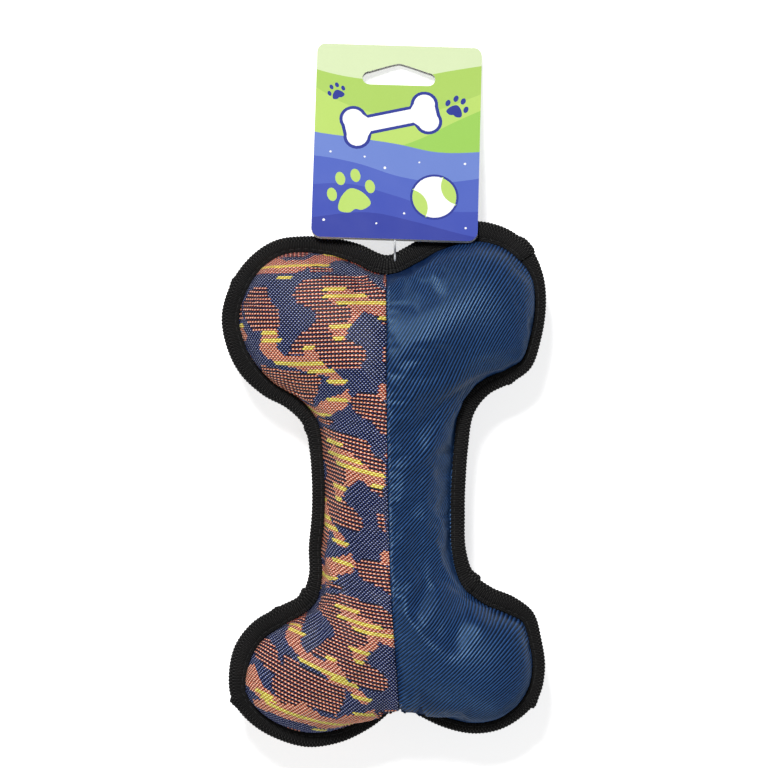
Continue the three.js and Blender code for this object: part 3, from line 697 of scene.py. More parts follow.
def cut_panel(left, side, readings):
    """A panel as it is draped, with the place of each point on the cloth, along its rows or ribs and across
    them. The readings say how these lie, seen from above. The camouflage cloth's columns stay in line with
    the toy, and the twill's ribs are square to its weft."""
    cut = half_of(front_cloth if side > 0 else back_cloth, left, side)
    degrees = leaning(readings, cut.spots[cut.faces].mean(1))
    column_degrees = np.full(len(degrees), COLUMN_LEAN) if left else degrees + 90
    cut.flat = laid_along(cut.points, cut.faces, degrees, column_degrees, side)
    return cut


def smooth_sheet(cut):
    """Subdivides a panel and hands back its points, normals, triangles, and places on the cloth with the
    distance from the seam."""
    piece = new_piece("sheet", cut.points, cut.faces)
    point_vectors(piece, "laid", np.column_stack([cut.flat, cut.gaps]))
    edge_ends = np.empty(len(piece.data.edges) * 2, dtype=np.int32)
    piece.data.edges.foreach_get("vertices", edge_ends)
    pairs = [tuple(sorted(pair)) for pair in edge_ends.reshape(-1, 2).tolist()]
    crease = [CREASE if pair in cut.creased else 0.0 for pair in pairs]
    creases = piece.data.attributes.new("crease_edge", "FLOAT", "EDGE").data
    creases.foreach_set("value", np.array(crease, dtype=np.float32))
    subdivide(piece, SHEET_LEVELS)
    mesh = evaluated_mesh(piece)
    bpy.data.objects.remove(piece)
    corner = np.empty(len(mesh.loops), dtype=np.int32)
    mesh.loops.foreach_get("vertex_index", corner)
    triangles = corner.reshape(-1, 4)[:, [0, 1, 2, 0, 2, 3]].reshape(-1, 3)
    where, normals = points_of(mesh), normals_of(mesh).astype(float)
    laid = vectors(mesh.attributes["laid"].data, "vector", len(where)).astype(float)
    bpy.data.meshes.remove(mesh)
    return where, normals, triangles, laid


def crossings(corners):
    """The lattice crossings inside triangles in lattice units: columns and rows, triangle and weights."""
    low = np.ceil(corners.min(1) - SPAN_SLACK).astype(int)
    high = np.floor(corners.max(1) + SPAN_SLACK).astype(int)
    span = (high - low).max(1) + 1
    a = corners[:, 0]
    ab, ac = corners[:, 1] - a, corners[:, 2] - a
    area = flat_cross(ab, ac)
    sound = (np.abs(area) > TINY) & ((high - low).min(1) >= 0)
    found = []
    for size in range(1, LARGEST_SPAN + 1):
        picked = np.flatnonzero((span == size) & sound)
        if not len(picked):
            continue
        step = np.stack(np.meshgrid(np.arange(size), np.arange(size), indexing="ij"), axis=-1).reshape(-1, 2)
        node = low[picked][:, None, :] + step[None]
        gap = node - a[picked][:, None, :]
        second = flat_cross(gap, ac[picked][:, None]) / area[picked][:, None]
        third = flat_cross(ab[picked][:, None], gap) / area[picked][:, None]
        weights = np.stack([1 - second - third, second, third], axis=-1)
        which, spot = np.nonzero((weights >= -WEIGHT_SLACK).all(-1))
        found.append((node[which, spot], picked[which], weights[which, spot]))
    nodes, owner, weights = (np.concatenate(part) for part in zip(*found))
    order = np.argsort(-owner, kind="stable")
    return nodes[order], owner[order], weights[order]


def woven(name, cut, side, steps, looks):
    """A panel laid out on its own weave: a lattice of points along the cloth's yarns or ribs, with the
    relief and colour that looks() gives each point."""
    where, normals, triangles, laid = smooth_sheet(cut)
    nodes, owner, weights = crossings((laid[:, :2] / np.array(steps))[triangles])
    low = nodes.min(0)
    shape = nodes.max(0) - low + 1
    key = (nodes[:, 0] - low[0]) * shape[1] + nodes[:, 1] - low[1]
    last = np.full(shape[0] * shape[1], -1)
    last[key] = np.arange(len(key))
    used = last[last >= 0]
    index = np.full(shape[0] * shape[1], -1)
    index[last >= 0] = np.arange(len(used))
    index = index.reshape(shape)
    corners, share = triangles[owner[used]], weights[used][:, :, None]
    points, normal, place = ((values[corners] * share).sum(1) for values in (where, normals, laid))
    normal = unit(normal)
    relief, colour = looks(nodes[used], place[:, 2])
    points = points + normal * relief[:, None]
    if side < 0:
        points[:, 2] = np.maximum(points[:, 2], FACE_LIFT)
    quads = np.stack([index[:-1, :-1], index[1:, :-1], index[1:, 1:], index[:-1, 1:]], axis=-1).reshape(-1, 4)
    quads = quads[(quads >= 0).all(1)]
    longest = np.linalg.norm(points[quads] - points[np.roll(quads, -1, axis=1)], axis=-1).max(1)
    quads = quads[longest < max(steps) * LONGEST_CELL]
    a, b, d = points[quads[:, 0]], points[quads[:, 1]], points[quads[:, 3]]
    facing = (np.cross(b - a, d - a) * normal[quads[:, 0]]).sum(1)
    colour = colour[quads[:, 0]]
    if np.median(facing) < 0:
        quads = quads[:, ::-1]
    keep, quads = np.unique(quads, return_inverse=True)
    piece = new_piece(name, points[keep], quads.reshape(-1, 4))
    face_colours(piece, "yarn", colour)
    thicken(piece, CLOTH_THICKNESS)
    applied(piece)
    if side < 0:
        points = points_of(piece.data)
        points[:, 2] = np.maximum(points[:, 2], CLOTH_LIFT)
        move_points(piece.data, points)
    return piece


def srgb(*values):
    """Linear colour from 0 to 255 screen values."""
    c = np.array(values, dtype=float) / 255
    return np.where(c <= 0.04045, c / 12.92, ((c + 0.055) / 1.055) ** 2.4)


SCATTER_STEPS = (12.9898, 78.233, 37.719)
SCATTER_SIZE = 43758.5453


def scatter(column, row, seed):
    """A steady pseudo-random number from 0 to 1 for each lattice place."""
    along, down, turn = SCATTER_STEPS
    value = np.sin(column * along + row * down + seed * turn) * SCATTER_SIZE
    return value - np.floor(value)


# The camouflage cloth

DOT_PITCH = 1.79
REPEAT = 76.5
REPEATS = range(-2, 4)
LEAST_AREA = 0.3
weave_steps = (DOT_PITCH / 4, DOT_PITCH / 6)

# The camouflage is drawn once, a repeat high, on a sheet of small units: across from left to right with the
# centre seam at SHEET_SEAM, and down from the tag end. Solid shapes are orange in every row and shaded ones
# in every other row. A fat yellow float runs over a stretch of two rows.
SHEET_UNIT = 0.0544
SHEET_SEAM = 1310
SHEET_TOP = 113.2
SEAM_AT_SHEET = 1.97
SOLID_SHAPES = [
    [(60, 400), (30, 350), (80, 310), (340, 312), (370, 290), (460, 285), (500, 300), (640, 290), (720, 250),
     (749, 210), (895, 161), (973, 156), (1002, 185), (983, 229), (934, 263), (876, 300), (800, 330),
     (700, 345), (640, 385), (540, 405), (400, 400), (200, 396)],
    [(850, 525), (1050, 520), (1070, 560), (1200, 590), (1330, 600), (1330, 725), (1190, 725), (1110, 700),
     (1060, 790), (1010, 805), (985, 900), (890, 900), (850, 850), (850, 820), (1000, 790), (1020, 700),
     (1000, 655), (900, 650), (830, 600), (800, 590)],
    [(320, 840), (430, 830), (440, 900), (425, 1000), (470, 1050), (640, 1050), (640, 1010), (730, 1010),
     (800, 1130), (880, 1180), (940, 1220), (950, 1300), (870, 1300), (820, 1220), (660, 1190), (590, 1160),
     (430, 1110), (330, 1060), (285, 1000), (300, 930)],
    [(1235, 1290), (1330, 1260), (1330, 1405), (1250, 1395), (1230, 1340)],
    [(1285, 395), (1330, 380), (1330, 480), (1290, 485), (1275, 440)],
    [(100, 790), (160, 820), (190, 880), (180, 930), (150, 900)],
    [(-95, 1345), (40, 1300), (110, 1360), (265, 1405), (295, 1525), (235, 1555), (40, 1420), (-35, 1465)],
]
SHADED_SHAPES = [
    [(700, 350), (880, 345), (870, 380), (700, 400)],
    [(870, 405), (1140, 420), (1190, 465), (1240, 495), (1290, 525), (1330, 550), (1330, 640), (1000, 655),
     (1020, 700), (1000, 790), (850, 820), (850, 850), (980, 920), (1110, 985), (1145, 1080), (1090, 1150),
     (860, 1155), (760, 1090), (640, 1030), (500, 1050), (560, 960), (640, 870), (740, 800), (745, 735),
     (700, 690), (600, 640), (560, 580), (620, 470)],
    [(270, 505), (350, 505), (370, 600), (440, 690), (462, 780), (440, 830), (330, 850), (230, 850),
     (170, 720), (160, 640), (200, 560)],
    [(480, 1170), (700, 1190), (770, 1230), (740, 1340), (700, 1440), (600, 1400), (500, 1330), (400, 1260),
     (310, 1180), (300, 1120)],
    [(1040, 141), (1168, 146), (1285, 205), (1330, 244), (1330, 341), (1227, 346), (1120, 351), (1032, 322),
     (993, 283), (925, 270), (876, 300), (930, 240), (990, 190)],
    [(1285, 955), (1330, 955), (1330, 1115), (1285, 1110), (1270, 1030)],
    [(1190, 725), (1330, 725), (1330, 800), (1270, 790), (1230, 760)],
    [(30, 560), (110, 540), (150, 640), (160, 760), (90, 780), (20, 700)],
    [(-60, 850), (60, 830), (90, 940), (60, 1010), (-40, 1000)],
    [(-35, 1180), (145, 1060), (235, 1135), (295, 1165), (385, 1195), (480, 1215), (610, 1300), (610, 1360),
     (520, 1450), (385, 1450), (295, 1495), (220, 1375), (175, 1330), (220, 1255), (130, 1270), (40, 1240)],
]
YELLOW_FLOATS = [
    (70, 840, 318), (425, 545, 425), (798, 978, 243), (790, 975, 510), (790, 1142, 575), (905, 1330, 636),
    (1230, 1330, 735), (845, 1020, 827), (885, 955, 922), (313, 430, 863), (310, 462, 922), (637, 725, 1002),
    (412, 800, 1115), (662, 885, 1172), (818, 975, 1258), (118, 165, 800), (40, 205, 1412),
    (100, 290, 1455),
]


def sheet_spots(pairs):
    """Places on the drawn sheet as places on the plan of the toy."""
    across, down = np.array(pairs, dtype=float).T
    x = SEAM_AT_SHEET - (SHEET_SEAM - across) * SHEET_UNIT
    return np.stack([x, SHEET_TOP - down * SHEET_UNIT], axis=-1)


def cloth_places(spots, cut):
    """Where places on the plan of a panel lie on its cloth. A place past its edge carries on from the nearest
    triangle."""
    a, b, c = (cut.spots[cut.body_faces[:, k]] for k in range(3))
    area = flat_cross(b - a, c - a)
    good = np.abs(area) > LEAST_AREA
    a, b, c, area, triangles = a[good], b[good], c[good], area[good], cut.body_faces[good]
    out = []
    for spot in spots:
        second = flat_cross(spot - a, c - a) / area
        third = flat_cross(b - a, spot - a) / area
        weights = np.stack([1 - second - third, second, third], axis=1)
        best = np.argmax(weights.min(1))
        out.append((weights[best][:, None] * cut.flat[triangles[best]]).sum(0))
    return np.array(out)


class Camouflage:
    """The drawn sheet brought onto the cloth of the front panel. It repeats along the toy."""

    def __init__(self, cut):
        self.solid = [cloth_places(sheet_spots(shape), cut) for shape in SOLID_SHAPES]
        self.shaded = [cloth_places(sheet_spots(shape), cut) for shape in SHADED_SHAPES]
        self.floats = []
        for start, end, down in YELLOW_FLOATS:
            ends = cloth_places(sheet_spots([(start, down), (end, down)]), cut)
            self.floats.append((ends[0, 0], ends[1, 0], ends[:, 1].mean()))

    def yarn(self, u, v, weft):
        """The yarn that shows at each dot: 0 navy, 1 orange, 2 yellow, 3 navy sunk between rows of orange,
        whose colours are painted darker as shade.
        """
        kind = np.zeros(len(u), dtype=int)
        for turn in REPEATS:
            at = np.stack([u, v + turn * REPEAT], axis=1)
            for shapes, solid in ((self.shaded, False), (self.solid, True)):
                for shape in shapes:
                    near = (at >= shape.min(0)).all(1) & (at <= shape.max(0)).all(1)
                    spots = np.flatnonzero(near)
                    if len(spots):
                        spots = spots[inside(at[spots], shape)]
                        kind[spots] = np.where(solid | (weft[spots] % 2 == 0), 1, 3)
            for start, end, level in self.floats:
                pair = np.floor((level - turn * REPEAT) / DOT_PITCH)
                kind[(np.floor_divide(weft, 2) == pair) & (u > start) & (u < end)] = 2
        return kind


# How the camouflage cloth's rows lie: place from the toy's centre, and the angle seen from above.
ROW_READINGS = [
    (-60, 93, 3), (-37, 96, 4), (-10, 92, -2), (-44, 90, 0), (-20, 82, -1), (-10, 79, -2), (0, 72, -4),
    (-66, 75, 3), (-49, 66, 0), (-18, 68, 0), (-48, 62, 0), (-36, 53, -1), (-28, 49, -1), (-20, 44, -2),
    (-52, 48, -8), (-40, 43, -17), (-32, 34, -14), (-14, 34, -5), (0, 40, -6), (-27, 29, -4), (-20, 30, 0),
    (-20, 16, -24), (-15, 12, -21), (-7, 8, -14), (1, 6, -10), (-22, 0, -20), (-24, -12, -33),
    (-20, -20, -22), (-10, -10, -14), (0, -16, -7), (-20, -38, -23), (-25, -40, -38), (-8, -38, -8),
    (0, -40, -5),
    (-16, -53, -23), (-10, -56, -15), (-2, -62, -7), (-37, -60, -9), (-38, -64, -18), (-14, -69, -23),
    (-27, -74, -21), (-32, -78, -21), (-23, -84, -16), (-17, -89, -10), (-51, -92, -22), (-48, -99, -22),
    (-35, -102, -12), (-20, -102, -3), (-10, -100, 4), (0, -96, 6),
]

# Navy, orange, yellow and sunk navy yarn, each as lit and shaded copies: its gap (painted shade), flank, top,
# lit crown (painted highlight) and the crown's far side. The sunk navy is darker throughout: painted shade.
# A float is four cells of the lattice long and three high.
YARN_LIT_AND_SHADED = [
    [srgb(5, 8, 22), srgb(14, 22, 56), srgb(31, 49, 112), srgb(214, 220, 244), srgb(62, 82, 152)],
    [srgb(14, 7, 18), srgb(216, 88, 56), srgb(255, 154, 108), srgb(255, 252, 246), srgb(255, 218, 192)],
    [srgb(158, 124, 30), srgb(236, 212, 62), srgb(255, 246, 108), srgb(255, 254, 200), srgb(255, 252, 164)],
    [srgb(8, 6, 16), srgb(10, 13, 32), srgb(17, 24, 56), srgb(92, 98, 130), srgb(26, 34, 70)],
]
# The colour of each cell, by row of the float and place along it: 0 is the gap's painted shade, 3 the crown's
# painted highlight.
CELL_PAINTED_LIGHT = [[0, 1, 0, 0], [1, 3, 4, 1], [0, 2, 2, 0]]
YARN_RELIEF = 0.32
ALONG_FLOAT = np.array([0.1, 0.85, 1.0, 0.85])
OVER_FLOAT = np.array([0.12, 1.0, 0.9])
YARN_HEIGHTS = np.array([0.75, 1, 1, 0.45])
YELLOW_FOOT = 0.45
YELLOW_SHARE = 0.85
YARN_DIMMEST = 0.88
YARN_SPREAD = 0.24
SEAM_SINK = 0.22
SEAM_SINK_REACH = 0.7


def seam_sink(gap):
    return SEAM_SINK * np.exp(-(np.maximum(gap, 0) / SEAM_SINK_REACH) ** 2)


def uneven(column, row, seed):
    """How much lighter or darker each yarn is."""
    return (YARN_DIMMEST + YARN_SPREAD * scatter(column, row, seed))[:, None]


def weave_of(pattern, moved):
    """Floats of orange, yellow and navy yarn in rows that are offset by half a dot. A colour belongs to the
    cell that a lattice point begins, and carries painted light: highlight on the crowns and shade in the
    gaps."""
    def looks(ij, gap):
        column, row = ij[:, 0], ij[:, 1]
        weft, level = np.floor_divide(row, 3), row % 3
        start = np.where(weft % 2 == 0, 2, 0)
        phase = (column - start) % 4
        dot = np.floor_divide(column - start, 4)
        u = (dot * 4 + start + 2) * DOT_PITCH / 4 + moved[0]
        v = (weft + 0.5) * DOT_PITCH / 2 + moved[1]
        kind = pattern.yarn(u, v, weft)
        height = ALONG_FLOAT[phase] * OVER_FLOAT[level]
        height = np.where(kind == 2, YELLOW_FOOT + YELLOW_SHARE * height, height * YARN_HEIGHTS[kind])
        shade = np.array(YARN_LIT_AND_SHADED)[kind, np.array(CELL_PAINTED_LIGHT)[level, phase]]
        return YARN_RELIEF * height - seam_sink(gap), shade * uneven(dot, weft, 3)
    return looks


# The twill

RIB_PITCH = 1.5
RIB_RELIEF = 0.34
RIB_HEIGHTS = np.array([0.0, 0.75, 1.0, 0.55])
# Groove, rise, crest and fall of a rib as lit and shaded copies: painted shade in the groove and on the fall,
# painted highlight on the crest.
RIB_LIT_AND_SHADED = np.array([srgb(7, 20, 46), srgb(20, 50, 98), srgb(44, 82, 136), srgb(4, 10, 26)])
RIB_DIMMEST = 0.94
RIB_SPREAD = 0.12
rib_steps = (0.75, RIB_PITCH / 4)

# How the twill's ribs lie: place from the toy's centre, and the angle seen from above.
RIB_READINGS = [
    (7, 85, 60), (25, 96, 58), (47, 94, 58), (62, 72, 58), (25, 67, 61), (51, 54, 60), (7, 45, 60),
    (25, 37, 61), (33, 32, 62), (5, 15, 54), (16, 19, 53), (27, 15, 68), (7, -11, 50), (18, -11, 54),
    (27, -16, 68), (7, -38, 48), (20, -42, 62), (31, -46, 74), (24, -53, 70), (44, -56, 80), (7, -68, 44),
    (20, -68, 48), (34, -66, 58), (51, -70, 50), (62, -73, 44), (8, -90, 38), (25, -90, 33), (42, -90, 33),
    (58, -90, 34), (34, -101, 30),
]


def twill(ij, gap):
    """Steep satin ribs, with painted highlight on the crests and painted shade in the grooves."""
    phase, rib = ij[:, 1] % 4, np.floor_divide(ij[:, 1], 4)
    shade = RIB_LIT_AND_SHADED[phase] * uneven(rib, ij[:, 0], 5)
    shade = shade * (RIB_DIMMEST + RIB_SPREAD * scatter(rib, rib * 0, 9))[:, None]
    return RIB_RELIEF * RIB_HEIGHTS[phase] - seam_sink(gap), shade


# Finishes

def feed(socket, value):
    if isinstance(value, bpy.types.NodeSocket):
        socket.id_data.links.new(value, socket)
    else:
        socket.default_value = value


def add_node(tree, kind, inputs=None, **settings):
    made = tree.nodes.new(kind)
    for key, value in settings.items():
        setattr(made, key, value)
    for key, value in (inputs or {}).items():
        feed(made.inputs[key], value)
    return made


class Finish:
    """A node material that is written a node at a time."""

    def __init__(self, name):
        self.material = bpy.data.materials.new(name)
        self.material.use_nodes = True
        self.tree = self.material.node_tree
        self.shader = self.tree.nodes["Principled BSDF"]

    def node(self, kind, inputs=None, **settings):
        return add_node(self.tree, kind, inputs, **settings)

    def set(self, **values):
        for key, value in values.items():
            feed(self.shader.inputs[key.replace("_", " ")], value)
        return self

    def attribute(self, name, output="Color"):
        return self.node("ShaderNodeAttribute", attribute_name=name).outputs[output]

    def noise(self, scale, detail):
        where = self.node("ShaderNodeTexCoord").outputs["Object"]
        made = self.node("ShaderNodeTexNoise", {"Vector": where, "Scale": scale, "Detail": detail})
        return made.outputs["Fac"]

    def math(self, operation, a, b=0.0):
        return self.node("ShaderNodeMath", {0: a, 1: b}, operation=operation).outputs[0]

    def mix(self, share, a, b, blend="MIX"):
        made = self.node("ShaderNodeMix", data_type="RGBA", blend_type=blend)
        feed(made.inputs["Factor"], share)
        for key, value in (("A", a), ("B", b)):
            socket = [s for s in made.inputs if s.name == key and s.type == "RGBA"][0]
            feed(socket, value if isinstance(value, bpy.types.NodeSocket) else (*value, 1))
        return [s for s in made.outputs if s.type == "RGBA"][0]

    def shaded(self, colour, share, low, high):
        """A colour multiplied by one that runs from low to high."""
        return self.mix(1.0, colour, self.mix(share, low, high), "MULTIPLY")

    def between(self, value, low, high, to_low=0.0, to_high=1.0):
        made = self.node("ShaderNodeMapRange", {"Value": value, "From Min": low, "From Max": high,
                                                "To Min": to_low, "To Max": to_high})
        return made.outputs["Result"]

    def bump(self, height, depth, strength=0.5):
        made = self.node("ShaderNodeBump", {"Height": height, "Strength": strength, "Distance": depth})
        feed(self.shader.inputs["Normal"], made.outputs["Normal"])
        return self


YARN_FIBRES = 2400
WORN_PATCHES = 45
PLY_THREADS = 1200
TAPE_DOT = 0.95
TAPE_PATCHES = 60
CARD_GRAIN = 1500
CARD_PATCHES = 90


def yarn_finish(name, rough_low, rough_high, sheen, shine, tint):
    f = Finish(name)
    fibre = f.noise(YARN_FIBRES, 2)
    worn = f.between(f.noise(WORN_PATCHES, 3), 0.35, 0.65)
    f.set(Base_Color=f.shaded(f.attribute("yarn"), worn, (0.9, 0.9, 0.92), (1.06, 1.05, 1.04)),
          Roughness=f.between(fibre, 0.3, 0.7, rough_low, rough_high),
          Sheen_Weight=sheen, Sheen_Roughness=0.4, Specular_IOR_Level=shine, Specular_Tint=(*tint, 1))
    return f.bump(fibre, 0.00005).material


def ply_finish():
    """The lining takes after the cloth that lies on it and has painted shade along the seam."""
    f = Finish("lining_and_seam_shadow")
    thread = f.between(f.noise(PLY_THREADS, 2), 0.3, 0.7, 0.8, 1.15)
    colour = f.shaded(f.attribute("shade", "Vector"), thread, (0, 0, 0), (1, 1, 1))
    return f.set(Base_Color=colour, Roughness=0.85).material


def tape_finish():
    """Black webbing: short floats in cross ribs, offset from rib to rib, with the raised knots painted
    lighter as highlight. The attribute holds the place along the tape and across it in millimetres."""
    f = Finish("black_ribbed_webbing")
    place = f.node("ShaderNodeSeparateXYZ", {"Vector": f.attribute("weft", "Vector")}).outputs
    rib = f.math("DIVIDE", place["X"], TAPE_RIB / 2)
    whole = f.math("FLOOR", rib)
    ridge = f.math("SINE", f.math("MULTIPLY", f.math("SUBTRACT", rib, whole), math.pi))
    offset = f.math("MULTIPLY", f.math("PINGPONG", whole, 1.0), 0.5)
    dot = f.math("FRACT", f.math("ADD", f.math("DIVIDE", place["Y"], TAPE_DOT), offset))
    dot = f.math("SINE", f.math("MULTIPLY", dot, math.pi))
    knot = f.math("MULTIPLY", ridge, dot)
    cloudy = f.between(f.noise(TAPE_PATCHES, 2), 0.3, 0.7)
    # Painted highlight: lighter where the knots rise, near black between them.
    knot_highlight = f.mix(f.between(knot, 0.35, 0.95), srgb(7, 7, 8), srgb(58, 57, 56))
    f.set(Base_Color=f.shaded(knot_highlight, cloudy, (0.8, 0.8, 0.8), (1.15, 1.15, 1.15)), Roughness=0.75,
          Specular_IOR_Level=0.14)
    return f.bump(knot, 0.00025, 0.9).material


def card_finish():
    f = Finish("printed_card")
    grain = f.noise(CARD_GRAIN, 2)
    f.set(Base_Color=f.shaded(f.attribute("ink"), grain, (0.97, 0.97, 0.97), (1.02, 1.02, 1.02)),
          Roughness=f.between(f.noise(CARD_PATCHES, 2), 0.3, 0.7, 0.48, 0.58), Specular_IOR_Level=0.12)
    return f.bump(grain, 0.00001, 0.3).material


def plain_finish(name, low, high, roughness, scale, depth=0.00003, **more):
    f = Finish(name)
    grain = f.noise(scale, 3)
    f.set(Base_Color=f.mix(f.between(grain, 0.35, 0.65), low, high),
          Roughness=f.between(grain, 0.3, 0.7, roughness - 0.06, roughness + 0.06), **more)
    return f.bump(grain, depth).material


camouflage_cloth = yarn_finish("camouflage_jacquard", rough_low=0.46, rough_high=0.62, sheen=0.02, shine=0.22,
                               tint=(1.0, 0.93, 0.88))
twill_cloth = yarn_finish("blue_twill", rough_low=0.34, rough_high=0.46, sheen=0.01, shine=0.55,
                          tint=(0.42, 0.7, 1.0))
lining_and_seam_shadow = ply_finish()
ribbed_tape = tape_finish()
printed_card = card_finish()
bare_card = plain_finish("bare_card", srgb(244, 244, 240), srgb(250, 250, 247), 0.7, 1500, 0.00001)
fibre_fill = plain_finish("polyester_fibre", srgb(226, 224, 216), srgb(248, 247, 242), 0.95, 900, 0.0004)
vinyl = plain_finish("squeaker_vinyl", srgb(236, 233, 222), srgb(244, 242, 234), 0.42, 300)
film = plain_finish("reed_film", srgb(216, 221, 227), srgb(232, 236, 240), 0.28, 700)
black_thread = plain_finish("black_thread", srgb(12, 12, 13), srgb(34, 34, 34), 0.7, 4000, 0.00005)
# Pale seam thread whose colour is also a painted highlight of the twill's rib ends.
pale_thread_and_highlight = plain_finish("seam_thread_and_highlight", srgb(96, 118, 158), srgb(150, 168, 200), 0.6, 4000, 0.00005)
nylon = plain_finish("clear_nylon", srgb(232, 234, 236), srgb(246, 247, 248), 0.32, 500, 0.00001,
                     Transmission_Weight=0.35, IOR=1.53)


def dress(piece, material, body, replaced=()):
    piece.data.materials.clear()
    piece.data.materials.append(material)
    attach(piece, body)
    if replaced:
        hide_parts(*replaced)


# The four cloth panels and their linings

BACK_SHIFT = (9, 31)
LINING_DEPTH = 0.75
LINING_THICKNESS = 0.3
# Painted shade for the seam's groove; the navy and blue plies take the colour of the cloth above them.
SEAM_SHADOW_PLY = srgb(10, 14, 30)
NAVY_PLY = srgb(30, 36, 74)
BLUE_PLY = srgb(27, 56, 100)


def lining(name, cloth, side):
    """The dark ply behind the woven cloth of one face. It shows as the line of the seam, which is painted
    darkest as shade.
    """
    piece = new_piece(name, cloth, plan_faces if side > 0 else plan_faces[:, ::-1])
    left = (plan[:, 0] < seam_x(plan[:, 1]))[:, None]
    point_vectors(piece, "shade", np.where(on_seam[:, None], SEAM_SHADOW_PLY, np.where(left, NAVY_PLY, BLUE_PLY)))
    if side < 0:
        subdivide(piece, 1)
        applied(piece)
    move_points(piece.data, points_of(piece.data) - normals_of(piece.data) * LINING_DEPTH)
    thicken(piece, LINING_THICKNESS)
    applied(piece)
    dress(piece, lining_and_seam_shadow, "toy")


lining("front_lining", front_cloth, 1)
lining("back_lining", back_cloth, -1)

pattern = None
for side, where in ((1, "front"), (-1, "back")):
    cut = cut_panel(True, side, ROW_READINGS)
    pattern = pattern or Camouflage(cut)
    looks = weave_of(pattern, (0, 0) if side > 0 else BACK_SHIFT)
    left_panel = woven(f"{where}_camouflage_panel", cut, side, weave_steps, looks)
    dress(left_panel, camouflage_cloth, "toy", [f"{where}_left_panel"])
    cut = cut_panel(False, side, RIB_READINGS)
    right_panel = woven(f"{where}_twill_panel", cut, side, rib_steps, twill)
    dress(right_panel, twill_cloth, "toy", [f"{where}_right_panel"])


# The stuffing inside them

FIBRE_INSET = 3.4
FIBRE_LEAST = 6
FIBRE_THINNEST = 0.8
FIBRE_LUMPS = 0.25
LUMP_TURNS = ((0.5, 0.4), (0.3, 0.9))
FIBRE_EDGE_GAP = 6
FIBRE_NOTCH_GAP = 24
FIBRE_PARTING = 0.15
ALLOWANCE_ROOM = 4.4
ALLOWANCE_WIDTH = 2.6
BULB_LOWERING = 1.5
POCKET_RADIUS = 20.8
POCKET_HALF_HEIGHT = 10.8
POCKET_NECK = 7.6
POCKET_NECK_TOP = 15.0
POCKET_EASING = 2.5


def pocket_height(spots, side):
    """How far the squeaker's pocket reaches from the seam plane."""
    away = np.linalg.norm(spots - CENTRE, axis=1)
    round_share = np.clip(1 - (away / POCKET_RADIUS) ** 2, 0, 1)
    pocket = POCKET_HALF_HEIGHT * np.sqrt(round_share) - side * BULB_LOWERING
    if side > 0:
        neck = 1 - smoothstep(away, POCKET_NECK, POCKET_NECK + POCKET_EASING)
        pocket = np.maximum(pocket, (POCKET_NECK_TOP - BULB_LOWERING) * neck)
    return np.where(away < POCKET_RADIUS + POCKET_EASING, np.maximum(pocket, FIBRE_PARTING), FIBRE_PARTING)


def fibre_clump(name, cloth, side, node):
    """The loose filling behind one face: it follows the cloth's inside, parts round the seam allowance and
    leaves a pocket for the squeaker."""
    piece = new_piece("clump", cloth, plan_faces if side > 0 else plan_faces[:, ::-1])
    top = cloth - normals_of(piece.data) * FIBRE_INSET
    bpy.data.objects.remove(piece)
    x, y = top[:, 0], top[:, 1]
    (across, along), (slant_across, slant_along) = LUMP_TURNS
    matted = np.sin(x * across) * np.sin(y * along + 1) + np.sin(y * slant_along + x * slant_across)
    height = (top[:, 2] - SEAM_PLANE) * side - FIBRE_LUMPS * (1 + matted)
    height -= ALLOWANCE_ROOM * np.exp(-(seam_gap / ALLOWANCE_WIDTH) ** 2)
    floor_height = pocket_height(top[:, :2], side)
    near_notch = np.linalg.norm(plan - far_notch, axis=1) < FIBRE_NOTCH_GAP
    whole = (height > FIBRE_LEAST) & (rim_gap > FIBRE_EDGE_GAP) & ~near_notch
    height = np.maximum(height, floor_height + FIBRE_THINNEST)
    keep, faces = np.unique(plan_faces[whole[plan_faces].all(1)], return_inverse=True)
    faces = faces.reshape(-1, 3)
    outer = np.column_stack([top[keep, :2], SEAM_PLANE + side * height[keep]])
    inner = np.column_stack([top[keep, :2], SEAM_PLANE + side * floor_height[keep]])
    count = len(keep)
    sides = np.vstack([faces[:, [0, 1]], faces[:, [1, 2]], faces[:, [2, 0]]]).tolist()
    seen = set(map(tuple, sides))
    rim = np.array([pair for pair in sides if (pair[1], pair[0]) not in seen])
    walls = np.vstack([np.column_stack([rim[:, 1], rim[:, 0], rim[:, 0] + count]),
                       np.column_stack([rim[:, 1], rim[:, 0] + count, rim[:, 1] + count])])
    closed = np.vstack([faces, faces[:, ::-1] + count, walls])
    piece = new_piece(name, np.vstack([outer, inner]), closed if side > 0 else closed[:, ::-1])
    dress(piece, fibre_fill, "toy", [node])


fibre_clump("front_fibre", front_cloth, 1, "front_filling")
fibre_clump("back_fibre", back_cloth, -1, "back_filling")

for node, material in (("squeaker_bulb", vinyl), ("squeaker_plug", vinyl), ("reed_seat", vinyl),
                       ("squeaker_reed", film)):
    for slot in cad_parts[node].material_slots:
        slot.material = material


# The edge tape

TAPE_SPACING = 0.4
TAPE_JOIN = (65.2, 100.6)
TAPE_LAP = 7
LAP_FADE = 4
LAP_RISE = 1.0
LAP_START = 0.55
LAP_GROWTH = 2.2
STITCH_LINE = 1.5
LEG_SHARES = (0, 0.03, 0.08, 0.14, 0.2, 0.27, 0.36, 0.48, 0.6, 0.72, 0.83, 0.92)
NOSE_ANGLES = (62, 40, 20, 0, -20, -40, -62)
NOSE_RADIUS = 2.0
NOSE_ACROSS = 40
RIB_RISE = 0.13
HEM_RIB_RISE = 0.04
NOSE_RIB_RISE = 0.16
TAPE_THINNING = 0.1
DOME = 0.5
DOME_SPAN = 1.05
GROOVE = 0.42
GROOVE_WIDTH = 0.5
NOSE_TALLER = 0.25
CHANNEL_LIP = 0.6
CHANNEL_INSET = 0.05
CHANNEL_WAIST = 0.6

